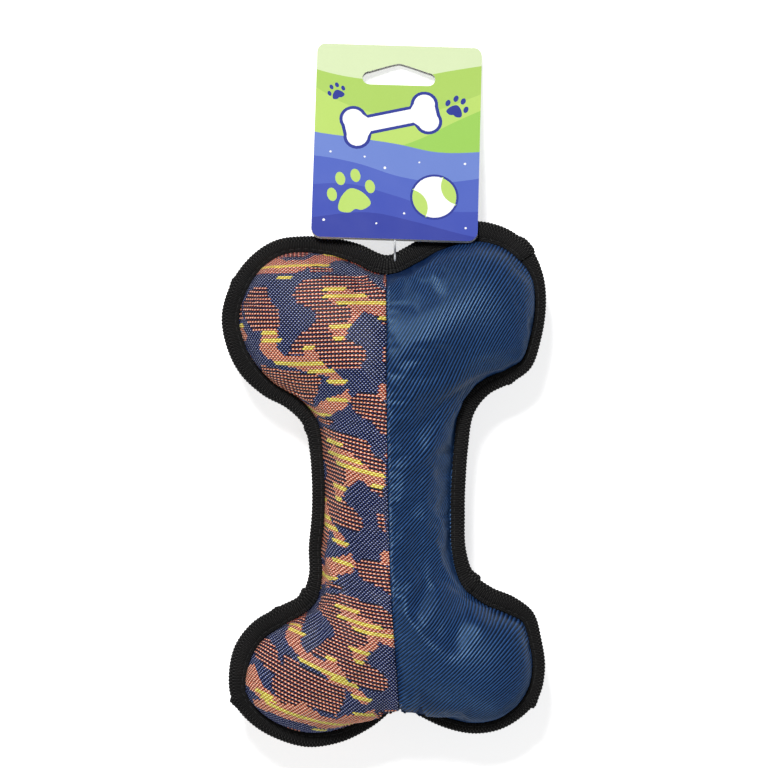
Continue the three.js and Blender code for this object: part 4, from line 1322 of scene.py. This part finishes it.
# How unevenly the tape was fed: how far a radian of each wave runs, where it starts and its share. Then what
# the waves and the pleats add to the leg, to the height and to the nose.
FEED_WAVES = ((17, 0, 0.55), (6.3, 2, 0.35), (3.1, 0.7, 0.3))
LEG_WAVE = 0.22
LEG_PLEAT = 0.35
HEIGHT_WAVE = 0.1
HEIGHT_PLEAT = 0.45
NOSE_WAVE = 0.08
NOSE_PLEAT = 0.3
PLEAT_START = -1.2
JOIN_STEPS = 6000
TAPE_STEPS = 9000

# Where the tape is pleated round a bend: place from the toy's centre, how far it stands out and how far it
# runs.
PLEATS = [
    ((-32.6, -47.2), 1.0, 5), ((42.2, -40.2), 1.2, 6), ((-66.2, -94.4), 1.1, 5), ((65.8, -97.9), 1.0, 6),
    ((-63, 88), 0.5, 5), ((-30.5, 26), 0.5, 4), ((56, 42), 0.5, 5), ((-48, -51), 0.5, 4),
]


def edge_curve(t):
    return edge_at(t)[0]


def tape_stations():
    """Places along the tape from its join right round to the lap over it."""
    fine = np.linspace(0, 1, JOIN_STEPS, endpoint=False)
    join = fine[np.argmin(np.linalg.norm(edge_curve(fine) - TAPE_JOIN, axis=1))]
    t = evenly(edge_curve, join, join + 1, TAPE_SPACING, TAPE_STEPS)
    step = t[1] - t[0]
    t = np.concatenate([t, t[-1] + step * np.arange(1, round(TAPE_LAP / TAPE_SPACING))])
    edge, inward, leg = edge_at(t)
    along = np.arange(len(t)) * TAPE_SPACING
    lap = LAP_START + (1 - LAP_START) * smoothstep(along, 0, LAP_GROWTH)
    lap = LAP_RISE * ((1 - smoothstep(along, TAPE_LAP, TAPE_LAP + LAP_FADE)) * lap)
    slow = sum(share * np.sin(along / length + start) for length, start, share in FEED_WAVES)
    pleat = np.zeros(len(t))
    for place, out, reach in PLEATS:
        nearest = np.argmin(np.linalg.norm(edge - place, axis=1))
        past = along - along[nearest]
        pleat += out * smoothstep(past, PLEAT_START, 0) * (1 - smoothstep(past, 0, reach))
    leg = leg - TAPE_SET_BACK + LEG_WAVE * slow + LEG_PLEAT * pleat
    return SimpleNamespace(edge=edge, inward=inward, leg=leg, along=along, lap=lap, slow=slow, pleat=pleat)


def tape_height(stations, share):
    """How far the tape's outer face stands from the seam plane, at a share of its leg from the inner edge."""
    from_edge = (stations.leg - NOSE_RADIUS) * share
    dome = DOME * math.sin(math.pi * min(1, share * DOME_SPAN))
    groove = GROOVE * np.exp(-((from_edge - STITCH_LINE) / GROOVE_WIDTH) ** 2)
    height = TAPE_OUTER - TAPE_THINNING + dome + stations.lap - groove
    return height + HEIGHT_WAVE * stations.slow + HEIGHT_PLEAT * stations.pleat


def edge_tape(s):
    rib = np.cos(2 * math.pi * s.along / TAPE_RIB)
    section, across = [], []

    def add(depth, height, place):
        section.append((np.broadcast_to(depth, s.leg.shape), np.broadcast_to(height, s.leg.shape)))
        across.append(place)

    def add_leg(share, face):
        height = tape_height(s, share) + (RIB_RISE if share else HEM_RIB_RISE) * rib
        add(lerp(s.leg, NOSE_RADIUS, share), face * height, face * TAPE_LEG * (1 - share))

    for share in LEG_SHARES:
        add_leg(share, 1)
    reach = NOSE_RADIUS + s.lap + NOSE_RIB_RISE * rib + s.pleat
    tall = TAPE_OUTER + NOSE_TALLER + s.lap + RIB_RISE * rib + NOSE_PLEAT * s.pleat
    for angle in NOSE_ANGLES:
        turn = math.radians(angle)
        depth = NOSE_RADIUS - reach * math.cos(turn) + NOSE_WAVE * s.slow
        add(depth, tall * math.sin(turn), angle / NOSE_ACROSS)
    for share in LEG_SHARES[::-1]:
        add_leg(share, -1)
    inner = TAPE_INNER + s.lap
    channel = TAPE_CHANNEL - s.lap
    lip = np.maximum(channel, 0) + CHANNEL_LIP
    hem = s.leg - CHANNEL_INSET
    waist = inner * CHANNEL_WAIST
    for depth, height in ((hem, -inner), (lip, -inner), (channel, -waist), (channel, waist), (lip, inner),
                          (hem, inner)):
        add(depth, height, 0)
    points = np.stack([np.column_stack([s.edge + s.inward * depth[:, None] + CENTRE, SEAM_PLANE + height])
                       for depth, height in section], axis=1)
    rings, size = points.shape[:2]
    grid = np.arange(rings * size).reshape(rings, size)
    piece = new_piece("binding_tape", points.reshape(-1, 3), swept_quads(grid))
    weft = np.zeros((rings, size, 3))
    weft[:, :, 0] = s.along[:, None]
    weft[:, :, 1] = np.array(across)[None, :]
    point_vectors(piece, "weft", weft.reshape(-1, 3))
    close_ends(piece, grid[0], grid[-1])
    return piece


def close_ends(piece, first, last):
    """Caps the two open rings of a swept piece."""
    shape = bmesh.new()
    shape.from_mesh(piece.data)
    shape.verts.ensure_lookup_table()
    for ring in (first[::-1], last):
        shape.faces.new([shape.verts[int(k)] for k in ring])
    bmesh.ops.recalc_face_normals(shape, faces=shape.faces)
    shape.to_mesh(piece.data)
    shape.free()
    piece.data.update()


tape_line = tape_stations()
dress(edge_tape(tape_line), ribbed_tape, "toy", ["edge_tape"])


# Stitches, each with pitch, length and thread radius

TAPE_STITCH = (3.3, 2.5, 0.2)
SEAM_STITCH = (3.1, 1.5, 0.11)
STITCH_BENDS = 5
STITCH_SIDES = 6
STITCH_DEPTH = -1.5
STITCH_HEIGHT = 2.2
STITCH_LIFT = 0.02
USUAL_LEG = TAPE_LEG * 0.8
SEAM_STITCH_SHIFT = 1.0
SEAM_STITCH_LIFT = 0.1
SEAM_STITCH_LEAN = math.radians(60)
SEAM_STITCH_LEAST = 6


def stitch_nodes(name, thread):
    """A node group that sets arched stitches along a line, and the names of its three sizes."""
    tree = bpy.data.node_groups.new(name, "GeometryNodeTree")
    tree.interface.new_socket(name="Geometry", in_out="INPUT", socket_type="NodeSocketGeometry")
    sizes = [tree.interface.new_socket(name=label, in_out="INPUT", socket_type="NodeSocketFloat").identifier
             for label in ("Pitch", "Stitch Length", "Thread Radius")]
    tree.interface.new_socket(name="Geometry", in_out="OUTPUT", socket_type="NodeSocketGeometry")

    def node(kind, inputs, **settings):
        return add_node(tree, kind, inputs, **settings).outputs[0]

    def times(value, factor):
        return node("ShaderNodeMath", {0: value, 1: factor}, operation="MULTIPLY")

    def attribute(label):
        return node("GeometryNodeInputNamedAttribute", {"Name": label}, data_type="FLOAT_VECTOR")

    given = add_node(tree, "NodeGroupInput").outputs
    length, radius = given["Stitch Length"], given["Thread Radius"]
    sunk = times(radius, STITCH_DEPTH)
    arch = node("GeometryNodeCurveQuadraticBezier", {
        "Resolution": STITCH_BENDS,
        "Start": node("ShaderNodeCombineXYZ", {"X": times(length, -0.5), "Z": sunk}),
        "Middle": node("ShaderNodeCombineXYZ", {"Z": times(radius, STITCH_HEIGHT)}),
        "End": node("ShaderNodeCombineXYZ", {"X": times(length, 0.5), "Z": sunk})})
    ring = node("GeometryNodeCurvePrimitiveCircle", {"Resolution": STITCH_SIDES, "Radius": radius})
    stitch = node("GeometryNodeCurveToMesh", {"Curve": arch, "Profile Curve": ring, "Fill Caps": True})
    line = node("GeometryNodeMeshToCurve", {"Mesh": given["Geometry"]})
    spaced = node("GeometryNodeResampleCurve", {"Curve": line, "Length": given["Pitch"]}, mode="LENGTH")
    laid = node("FunctionNodeAlignRotationToVector", {"Vector": attribute("lie")}, axis="X")
    faced = node("FunctionNodeAlignRotationToVector", {"Rotation": laid, "Vector": attribute("out")},
                 axis="Z", pivot_axis="X")
    row = node("GeometryNodeInstanceOnPoints", {"Points": spaced, "Instance": stitch, "Rotation": faced})
    real = node("GeometryNodeRealizeInstances", {"Geometry": row})
    smooth = node("GeometryNodeSetShadeSmooth", {"Geometry": real})
    done = node("GeometryNodeSetMaterial", {"Geometry": smooth, "Material": thread})
    add_node(tree, "NodeGroupOutput", {"Geometry": done})
    return tree, sizes


def stitch_row(name, places, lie, face, thread, sizes):
    """A row of stitches along a line of places. Each lies along lie and faces up or down."""
    mesh = bpy.data.meshes.new(name)
    mesh.from_pydata((places * MM).tolist(), [(k, k + 1) for k in range(len(places) - 1)], [])
    piece = linked(name, mesh)
    point_vectors(piece, "out", np.tile((0, 0, face), (len(places), 1)))
    point_vectors(piece, "lie", lie)
    sewn = piece.modifiers.new("stitches", "NODES")
    tree, keys = stitch_nodes(name, thread)
    for key, size in zip(keys, sizes):
        sewn[key] = size * MM
    sewn.node_group = tree
    applied(piece)
    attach(piece, "toy")


def tape_stitches(name, s, face):
    share = STITCH_LINE / (s.leg - NOSE_RADIUS)
    height = tape_height(s, STITCH_LINE / (USUAL_LEG - NOSE_RADIUS)) + STITCH_LIFT
    depth = lerp(s.leg, NOSE_RADIUS, share)
    places = np.column_stack([s.edge + s.inward * depth[:, None] + CENTRE, SEAM_PLANE + face * height])
    stitch_row(name, places, np.gradient(places, axis=0), face, black_thread, TAPE_STITCH)


def seam_ticks(name, cloth, face):
    """Stitches in pale thread at the twill's side of the seam; their pale colour also stands for the rib ends
    catching light there, a painted highlight.
    """
    line = catmull(cloth[seam_row], np.linspace(0, 1, len(seam_row) * 3), False)
    places = line + (SEAM_STITCH_SHIFT, 0, SEAM_STITCH_LIFT * face)
    places = places[(places[:, 2] - SEAM_PLANE) * face > SEAM_STITCH_LEAST]
    lie = np.tile((math.cos(SEAM_STITCH_LEAN), math.sin(SEAM_STITCH_LEAN), 0), (len(places), 1))
    stitch_row(name, places, lie, face, pale_thread_and_highlight, SEAM_STITCH)


tape_stitches("tape_stitches_front", tape_line, 1)
tape_stitches("tape_stitches_back", tape_line, -1)
seam_ticks("seam_stitches_front", front_cloth, 1)
seam_ticks("seam_stitches_back", back_cloth, -1)


# The hang tag: one printed card, folded at its far edge

TAG_HINGE = np.array([4.1743, 66.865, 30.8895])
TAG_LEAN = math.radians(-19.22)
TAG_YAW = math.radians(-1.7)
TAG_MIDDLE = -0.35
TAG_HALF = 36.3
TAG_REACH = 90.2
TAG_TURN = 1.2
TAG_CORNER = 4.4
TAG_BOW = 0.3
CORNER_STEPS = 9
EDGE_STEP = 4
FOLD_STEPS = 9
SLOT_CENTRE = 75.3
SLOT_REACH = 12.9
SLOT_RADIUS = 3.1
SLOT_SHOULDER = 1.61
SLOT_PEAK = 7.1
CARD = 0.45
CARD_SHARP = math.radians(35)
PRINT_STEP = 2.6
PRINT_SAME_SPOT = 1e-5
SHEET_LENGTH = 2 * TAG_REACH + math.pi * TAG_TURN

# A dent beside the slot: across, along, half widths and depth.
TAG_DENT = (12, 83, 11, 3.2, 0.28)

DEEP_BLUE = srgb(54, 66, 158)
BLUE = srgb(66, 82, 176)
MID_BLUE = srgb(80, 100, 188)
PALE_BLUE = srgb(108, 131, 202)
LIME = srgb(184, 214, 108)
DARK_LIME = srgb(170, 204, 98)
GREEN = srgb(154, 202, 90)
# A pale green ground for the whole sheet; where the fields leave it bare, on the top band, it is also painted
# glare.
PALE_GREEN_GLARE = srgb(211, 226, 180)
INK = srgb(46, 58, 146)
WHITE = srgb(250, 250, 250)


# Fields of colour, each below a curve right across the sheet, in the order in which they are laid.
FIELDS = [
    (DARK_LIME, [(-60, 90), (-45, 82), (-30, 77), (-12, 74.5), (6, 76), (24, 80), (45, 84), (60, 86)]),
    (LIME, [(-60, 78), (-40, 72), (-24, 63), (-6, 58), (14, 60), (34, 68), (50, 76), (60, 80)]),
    (GREEN, [(-60, 30), (-30, 34), (-8, 40), (10, 47), (26, 56), (42, 64), (60, 72)]),
    (PALE_BLUE, [(-60, 56), (-38, 49.5), (-20, 47), (0, 44.3), (18, 41), (38, 42), (60, 46)]),
    (MID_BLUE, [(-60, 36), (-38, 38), (-18, 35), (2, 29), (20, 27), (40, 30), (60, 34)]),
    (BLUE, [(-60, 20), (-40, 24), (-20, 25), (0, 20), (20, 14), (40, 14), (60, 16)]),
    (DEEP_BLUE, [(-60, 4), (-36, 9), (-12, 12), (10, 8), (30, 3), (60, -2)]),
]
FIELD_STEPS = 40
SHEET_SIDES = (-60, 60)
SHEET_ENDS = (-20, 240)

# The printed bone and paws: across, along, size and turn in degrees. The paws also say their ink.
BONE = (-3, 55.5, 32, 14)
BONE_OUTLINE = 0.045
BONE_KNOB = (0.5, 0.13)
BONE_KNOB_RADIUS = 0.145
BONE_SHAFT = (0.3, 0.1)
PAWS = [(-19, 20, 17, 14, LIME), (25.5, 62, 8.5, -20, INK), (-27, 68, 6.5, 24, INK)]
PAW_PAD = [(0, 0.18), (0.3, -0.02), (0.42, -0.34), (0.16, -0.46), (0, -0.4), (-0.16, -0.46), (-0.42, -0.34),
           (-0.3, -0.02)]
PAW_TOES = [(-0.5, 0.12), (-0.2, 0.5), (0.2, 0.5), (0.5, 0.12)]
TOE_RADIUS = 0.15
TOE_SHAPE = (0.85, 1.25)
BALL = (17, 20)
BALL_RADIUS = 9.6
BALL_OUTLINE = 1.0

# White dots: across, along and radius.
DOTS = [(-29, 40, 0.5), (-5, 33, 0.6), (4, 12, 0.5), (30, 36, 0.55), (-31, 8, 0.6), (31, 6, 0.5),
        (-8, 7, 0.45), (10, 36, 0.4), (-14, 38, 0.45)]

# The bare panel on the back leaf: half its width, its ends and the radius of its corners.
BLANK_HALF = 22
BLANK_ENDS = (14, 40)
BLANK_CORNER = 3


def rotated(x, y, angle):
    return x * math.cos(angle) - y * math.sin(angle), x * math.sin(angle) + y * math.cos(angle)


def on_tag(points):
    """Places from the tag's own frame into the toy's."""
    x, y, z = np.array(points, dtype=float).T
    y, z = rotated(y, z, TAG_LEAN)
    x, y = rotated(x, y, TAG_YAW)
    return np.column_stack([x, y, z]) + TAG_HINGE


def folded_card(spots):
    """The unfolded sheet, across and along, brought round the fold. Its printed face is outside."""
    across, along = spots[:, 0], spots[:, 1]
    turn = np.clip((along - TAG_REACH) / TAG_TURN, 0, math.pi)
    past = np.maximum(along - TAG_REACH - math.pi * TAG_TURN, 0)
    y = np.minimum(along, TAG_REACH) + TAG_TURN * np.sin(turn) - past
    bow = TAG_BOW * (1 - (across / TAG_HALF) ** 2) * np.sin(np.clip(y / TAG_REACH, 0, 1) * math.pi)
    dent_across, dent_along, half_across, half_along, depth = TAG_DENT
    dent = np.exp(-((y - dent_along) / half_along) ** 2 - ((across - dent_across) / half_across) ** 2)
    z = TAG_TURN * np.cos(turn) + bow - depth * dent * (along < TAG_REACH)
    return np.column_stack([across + TAG_MIDDLE, y, z])


def arc(cx, cy, radius, start, end, count):
    turn = np.radians(np.linspace(start, end, count))
    return np.column_stack([cx + radius * np.cos(turn), cy + radius * np.sin(turn)])


def card_outline():
    quarter = TAG_CORNER * (1 - np.cos(np.radians(np.linspace(0, 90, CORNER_STEPS))))
    in_fold = quarter < TAG_TURN
    crest = TAG_REACH + TAG_TURN * np.arcsin(np.clip((TAG_TURN - quarter[in_fold]) / TAG_TURN, 0, 1))
    along = np.concatenate([quarter, np.arange(TAG_CORNER, TAG_REACH - TAG_CORNER, EDGE_STEP),
                            TAG_REACH + TAG_TURN - quarter[~in_fold], crest, [SHEET_LENGTH / 2]])
    along = np.unique(np.round(along, 4))
    height = folded_card(np.column_stack([np.full(len(along), TAG_HALF), along]))[:, 1]
    near = np.minimum(height, TAG_REACH + TAG_TURN - height)
    half = TAG_HALF - TAG_CORNER + np.sqrt(TAG_CORNER ** 2 - np.clip(TAG_CORNER - near, 0, TAG_CORNER) ** 2)
    right = np.column_stack([half, along])
    right = np.vstack([right, np.column_stack([half[-2::-1], SHEET_LENGTH - along[-2::-1]])])
    return np.vstack([right, right[::-1] * (-1, 1)])


def slot_outline():
    """A peg slot with round ends and a low gable."""
    share = np.linspace(0, 1, CORNER_STEPS)[:, None]
    start, bend, peak = (SLOT_REACH, SLOT_RADIUS), (SLOT_SHOULDER, SLOT_PEAK), (0, SLOT_PEAK)
    gable = (1 - share) ** 2 * start + 2 * share * (1 - share) * bend + share ** 2 * peak
    right = np.vstack([arc(SLOT_REACH, 0, SLOT_RADIUS, -90, 90, 10), gable[1:]])
    return np.vstack([right, right[-2::-1] * (-1, 1)]) + (0, SLOT_CENTRE)


def turned(points, x, y, size, degrees):
    turn = math.radians(degrees)
    points = np.array(points, dtype=float) * size
    return np.column_stack([x + points[:, 0] * math.cos(turn) - points[:, 1] * math.sin(turn),
                            y + points[:, 0] * math.sin(turn) + points[:, 1] * math.cos(turn)])


def field(curve):
    left, right = SHEET_SIDES
    line = catmull(curve, np.linspace(0, 1, FIELD_STEPS), False)
    return np.vstack([[(left, SHEET_ENDS[0])], line, [(right, SHEET_ENDS[0])]])


def bone_shape(grown):
    """A bone one unit from knob to knob, or the outline that much larger."""
    knob = arc(*BONE_KNOB, BONE_KNOB_RADIUS + grown, -35 if grown else -40, 165, 14)
    quarter = np.vstack([knob, [(BONE_SHAFT[0], BONE_SHAFT[1] + grown)]])
    right = np.vstack([(quarter[::-1] * (1, -1))[:-1], quarter[1:]])
    return np.vstack([right, right * (-1, -1)])


def paw_shapes(x, y, size, degrees):
    pad = catmull(PAW_PAD, np.linspace(0, 1, len(PAW_PAD) * 5, endpoint=False), True)
    toes = [arc(0, 0, TOE_RADIUS, 0, 345, 14) * TOE_SHAPE + spot for spot in PAW_TOES]
    return [turned(shape, x, y, size, degrees) for shape in [pad, *toes]]


def ball_shapes():
    panel = np.vstack([arc(0, 0, BALL_RADIUS, -48, 48, 14), arc(12.5, 0, 8.6, 125, 235, 12)])
    return [(arc(*BALL, BALL_RADIUS + BALL_OUTLINE, 0, 350, 36), INK),
            (arc(*BALL, BALL_RADIUS, 0, 350, 36), WHITE),
            *((turned(panel, *BALL, 1, lean), LIME) for lean in (25, 205))]


def blank_shape():
    low, high = BLANK_ENDS
    corners = ((BLANK_HALF, high), (-BLANK_HALF, high), (-BLANK_HALF, low), (BLANK_HALF, low))
    return np.vstack([arc(x, y, BLANK_CORNER, 90 * k, 90 * (k + 1), 6) for k, (x, y) in enumerate(corners)])


def on_back(shape):
    return shape * (1, -1) + (0, SHEET_LENGTH)


def printed_shapes():
    """Shapes of ink in the order in which they are laid on the sheet."""
    fields = [(field(curve), ink) for ink, curve in FIELDS]
    (left, right), (low, high) = SHEET_SIDES, SHEET_ENDS
    # The pale ground under the fields: the card's pale green with painted glare on the top band.
    shapes = [(np.array([(left, low), (right, low), (right, high), (left, high)]), PALE_GREEN_GLARE), *fields]
    shapes += [(on_back(shape), ink) for shape, ink in fields]
    shapes += [(turned(bone_shape(grown), *BONE), ink) for grown, ink in ((BONE_OUTLINE, INK), (0.0, WHITE))]
    shapes += [(shape, ink) for *place, ink in PAWS for shape in paw_shapes(*place)]
    shapes += ball_shapes()
    shapes += [(arc(*dot, 0, 330, 10), WHITE) for dot in DOTS]
    return shapes + [(on_back(blank_shape()), WHITE)]


def hang_tag():
    outline = card_outline()
    slots = [slot_outline(), on_back(slot_outline())]
    shapes = printed_shapes()
    spots, edges = [], []
    for loop in [outline, *slots, *(shape for shape, _ in shapes)]:
        first = len(spots)
        spots.extend(map(tuple, loop))
        edges.extend((first + k, first + (k + 1) % len(loop)) for k in range(len(loop)))
    across = np.arange(-TAG_HALF + 1, TAG_HALF, PRINT_STEP)
    fold = TAG_REACH + TAG_TURN * np.linspace(0, math.pi, FOLD_STEPS)
    along = np.concatenate([np.arange(1.5, TAG_REACH, PRINT_STEP), fold,
                            np.arange(SHEET_LENGTH - TAG_REACH + 1.5, SHEET_LENGTH, PRINT_STEP)])
    grid = np.array([(a, b) for a in across for b in along])
    spots.extend(map(tuple, grid[inside(grid, outline)]))
    spots = [Vector(map(float, spot)) for spot in spots]
    out = geometry.delaunay_2d_cdt(spots, edges, [], 0, PRINT_SAME_SPOT, False)
    spots = np.array([tuple(v) for v in out[0]])
    faces = np.array(out[2])
    middle = spots[faces].mean(1)
    kept = inside(middle, outline) & ~inside(middle, slots[0]) & ~inside(middle, slots[1])
    faces, middle = faces[kept], middle[kept]
    colour = np.zeros((len(faces), 3))
    for shape, ink in shapes:
        colour[inside(middle, shape)] = ink
    used, faces = np.unique(faces, return_inverse=True)
    piece = new_piece("hang_tag_card", on_tag(folded_card(spots[used])), faces.reshape(-1, 3))
    face_colours(piece, "ink", colour)
    for material in (printed_card, bare_card):
        piece.data.materials.append(material)
    card = thicken(piece, CARD)
    card.material_offset = card.material_offset_rim = 1
    applied(piece)
    piece.data.set_sharp_from_angle(angle=CARD_SHARP)
    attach(piece, "tag")
    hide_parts("hang_tag")


hang_tag()


# The pin that holds the tag: bar, filament and paddle in one

PIN_X, PIN_Y = 4.1743, 57.865
PIN_SIDES = 12
BAR_HEIGHT = 20.9
BAR_HALF = 5.0
BAR_RADIUS = 0.9
BAR_MIDDLE = 0.92
BAR_END_ANGLES = (8, 35, 62, 90)
FILAMENT_RADIUS = 0.45
FILAMENT_FOOT = 0.35
FOOT_HEIGHT = 1.4

# How the filament rises from the bar: ahead of the bar and height.
FILAMENT_RISE = [(0, BAR_HEIGHT), (0, 24.45), (0, 26.65), (0.8, 27.55), (3.2, 28.0)]
FILAMENT_STEPS = 70
PADDLE_REACHES = (0.6, 0.9, 1.9, 3.2, 4.7, 5.05, 5.2)
PADDLE_HALVES = (0.45, 0.62, 1.3, 1.3, 1.3, 1.15, 0.9)
PADDLE_HALF_DEPTH = 0.45
BEVEL = math.sin(math.radians(45))
PADDLE_SECTION = [(1, 0), (0.94, BEVEL), (0.8, 1), (-0.8, 1), (-0.94, BEVEL), (-1, 0), (-0.94, -BEVEL),
                  (-0.8, -1), (0.8, -1), (0.94, -BEVEL)]


def swept(rings):
    """Points and faces of a form with closed ends, from its rings of points."""
    grid = np.arange(rings.shape[0] * rings.shape[1]).reshape(rings.shape[:2])
    return rings.reshape(-1, 3), swept_quads(grid).tolist() + [grid[0][::-1].tolist(), grid[-1].tolist()]


def tube(path, radii):
    """A round tube along a path that runs in a plane across the toy."""
    run = unit(np.gradient(path, axis=0))
    side = np.array([1.0, 0, 0]) if abs(run[0, 0]) < 0.5 else np.array([0, 1.0, 0])
    up = unit(np.cross(run, side))
    beside = np.cross(up, run)
    turn = np.linspace(0, 2 * math.pi, PIN_SIDES, endpoint=False)[None, :, None]
    return swept(path[:, None] + np.asarray(radii)[:, None, None] * (
        beside[:, None] * np.cos(turn) + up[:, None] * np.sin(turn)))


def filament():
    hole, mouth = on_tag([(0, -1.4, 0), (0, 1.3, 0)])
    rise = [(PIN_X, PIN_Y + ahead, height) for ahead, height in FILAMENT_RISE]
    rise += [(PIN_X, hole[1] - 1.6, hole[2] - 0.3), hole, mouth]
    line = catmull(rise, np.linspace(0, 1, FILAMENT_STEPS), False)
    foot = 1 - smoothstep(line[:, 2], BAR_HEIGHT, BAR_HEIGHT + FOOT_HEIGHT)
    return tube(line, FILAMENT_RADIUS + FILAMENT_FOOT * foot * (line[:, 1] < PIN_Y + 0.5))


def pin_bar():
    ends = np.sin(np.radians(BAR_END_ANGLES))
    rounding = BAR_RADIUS * (1 - np.cos(np.arcsin(ends)))
    x = PIN_X + np.concatenate([-BAR_HALF + rounding, [0], BAR_HALF - rounding[::-1]])
    radii = BAR_RADIUS * np.concatenate([ends, [BAR_MIDDLE], ends[::-1]])
    return tube(np.column_stack([x, np.full(len(x), PIN_Y), np.full(len(x), BAR_HEIGHT)]), radii)


def paddle():
    rings = [[(half * across, reach, PADDLE_HALF_DEPTH * up) for across, up in PADDLE_SECTION]
             for reach, half in zip(PADDLE_REACHES, PADDLE_HALVES)]
    shape = np.array(rings).shape
    return swept(on_tag(np.array(rings).reshape(-1, 3)).reshape(shape))


def tag_pin():
    points, faces = [], []
    for some, loops in (filament(), pin_bar(), paddle()):
        start = len(points)
        points.extend((some * MM).tolist())
        faces.extend([start + k for k in loop] for loop in loops)
    mesh = bpy.data.meshes.new("tag_pin")
    mesh.from_pydata(points, [], faces)
    shape = bmesh.new()
    shape.from_mesh(mesh)
    bmesh.ops.recalc_face_normals(shape, faces=shape.faces)
    for face in shape.faces:
        face.smooth = len(face.verts) == 4
    shape.to_mesh(mesh)
    shape.free()
    piece = linked("tag_pin", mesh)
    mesh.materials.append(nylon)
    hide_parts("tag_pin_bar", "tag_pin_paddle")
    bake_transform(piece)


tag_pin()


# Floor and light

FLOOR_HALF = 4
FLOOR_GLOW = 0.7
SKY = 0.155

floor_mesh = bpy.data.meshes.new("floor")
floor_corners = [(x * FLOOR_HALF, y * FLOOR_HALF, 0) for x, y in ((-1, -1), (1, -1), (1, 1), (-1, 1))]
floor_mesh.from_pydata(floor_corners, [], [(0, 1, 2, 3)])
floor = linked("floor", floor_mesh)


def floor_finish():
    f = Finish("white_table")
    f.set(Base_Color=(0.86, 0.86, 0.86, 1), Roughness=0.9, Specular_IOR_Level=0.1)
    seen = f.node("ShaderNodeLightPath").outputs["Is Camera Ray"]
    strength = f.math("MULTIPLY", seen, FLOOR_GLOW)
    glow = f.node("ShaderNodeEmission", {"Color": (1, 1, 1, 1), "Strength": strength})
    both = f.node("ShaderNodeAddShader", {0: f.shader.outputs[0], 1: glow.outputs[0]})
    feed(f.tree.nodes["Material Output"].inputs["Surface"], both.outputs[0])
    return f.material


floor.data.materials.append(floor_finish())

world = bpy.data.worlds.new("studio")
world.use_nodes = True
world.node_tree.nodes["Background"].inputs["Color"].default_value = (1, 1, 1, 1)
world.node_tree.nodes["Background"].inputs["Strength"].default_value = SKY
bpy.context.scene.world = world

soft_lamp("key", place=(-0.3, 0.95, 1.5), size=0.42, power=30)
soft_lamp("rim", place=(0.1, -1.2, 1.0), size=0.6, power=4)
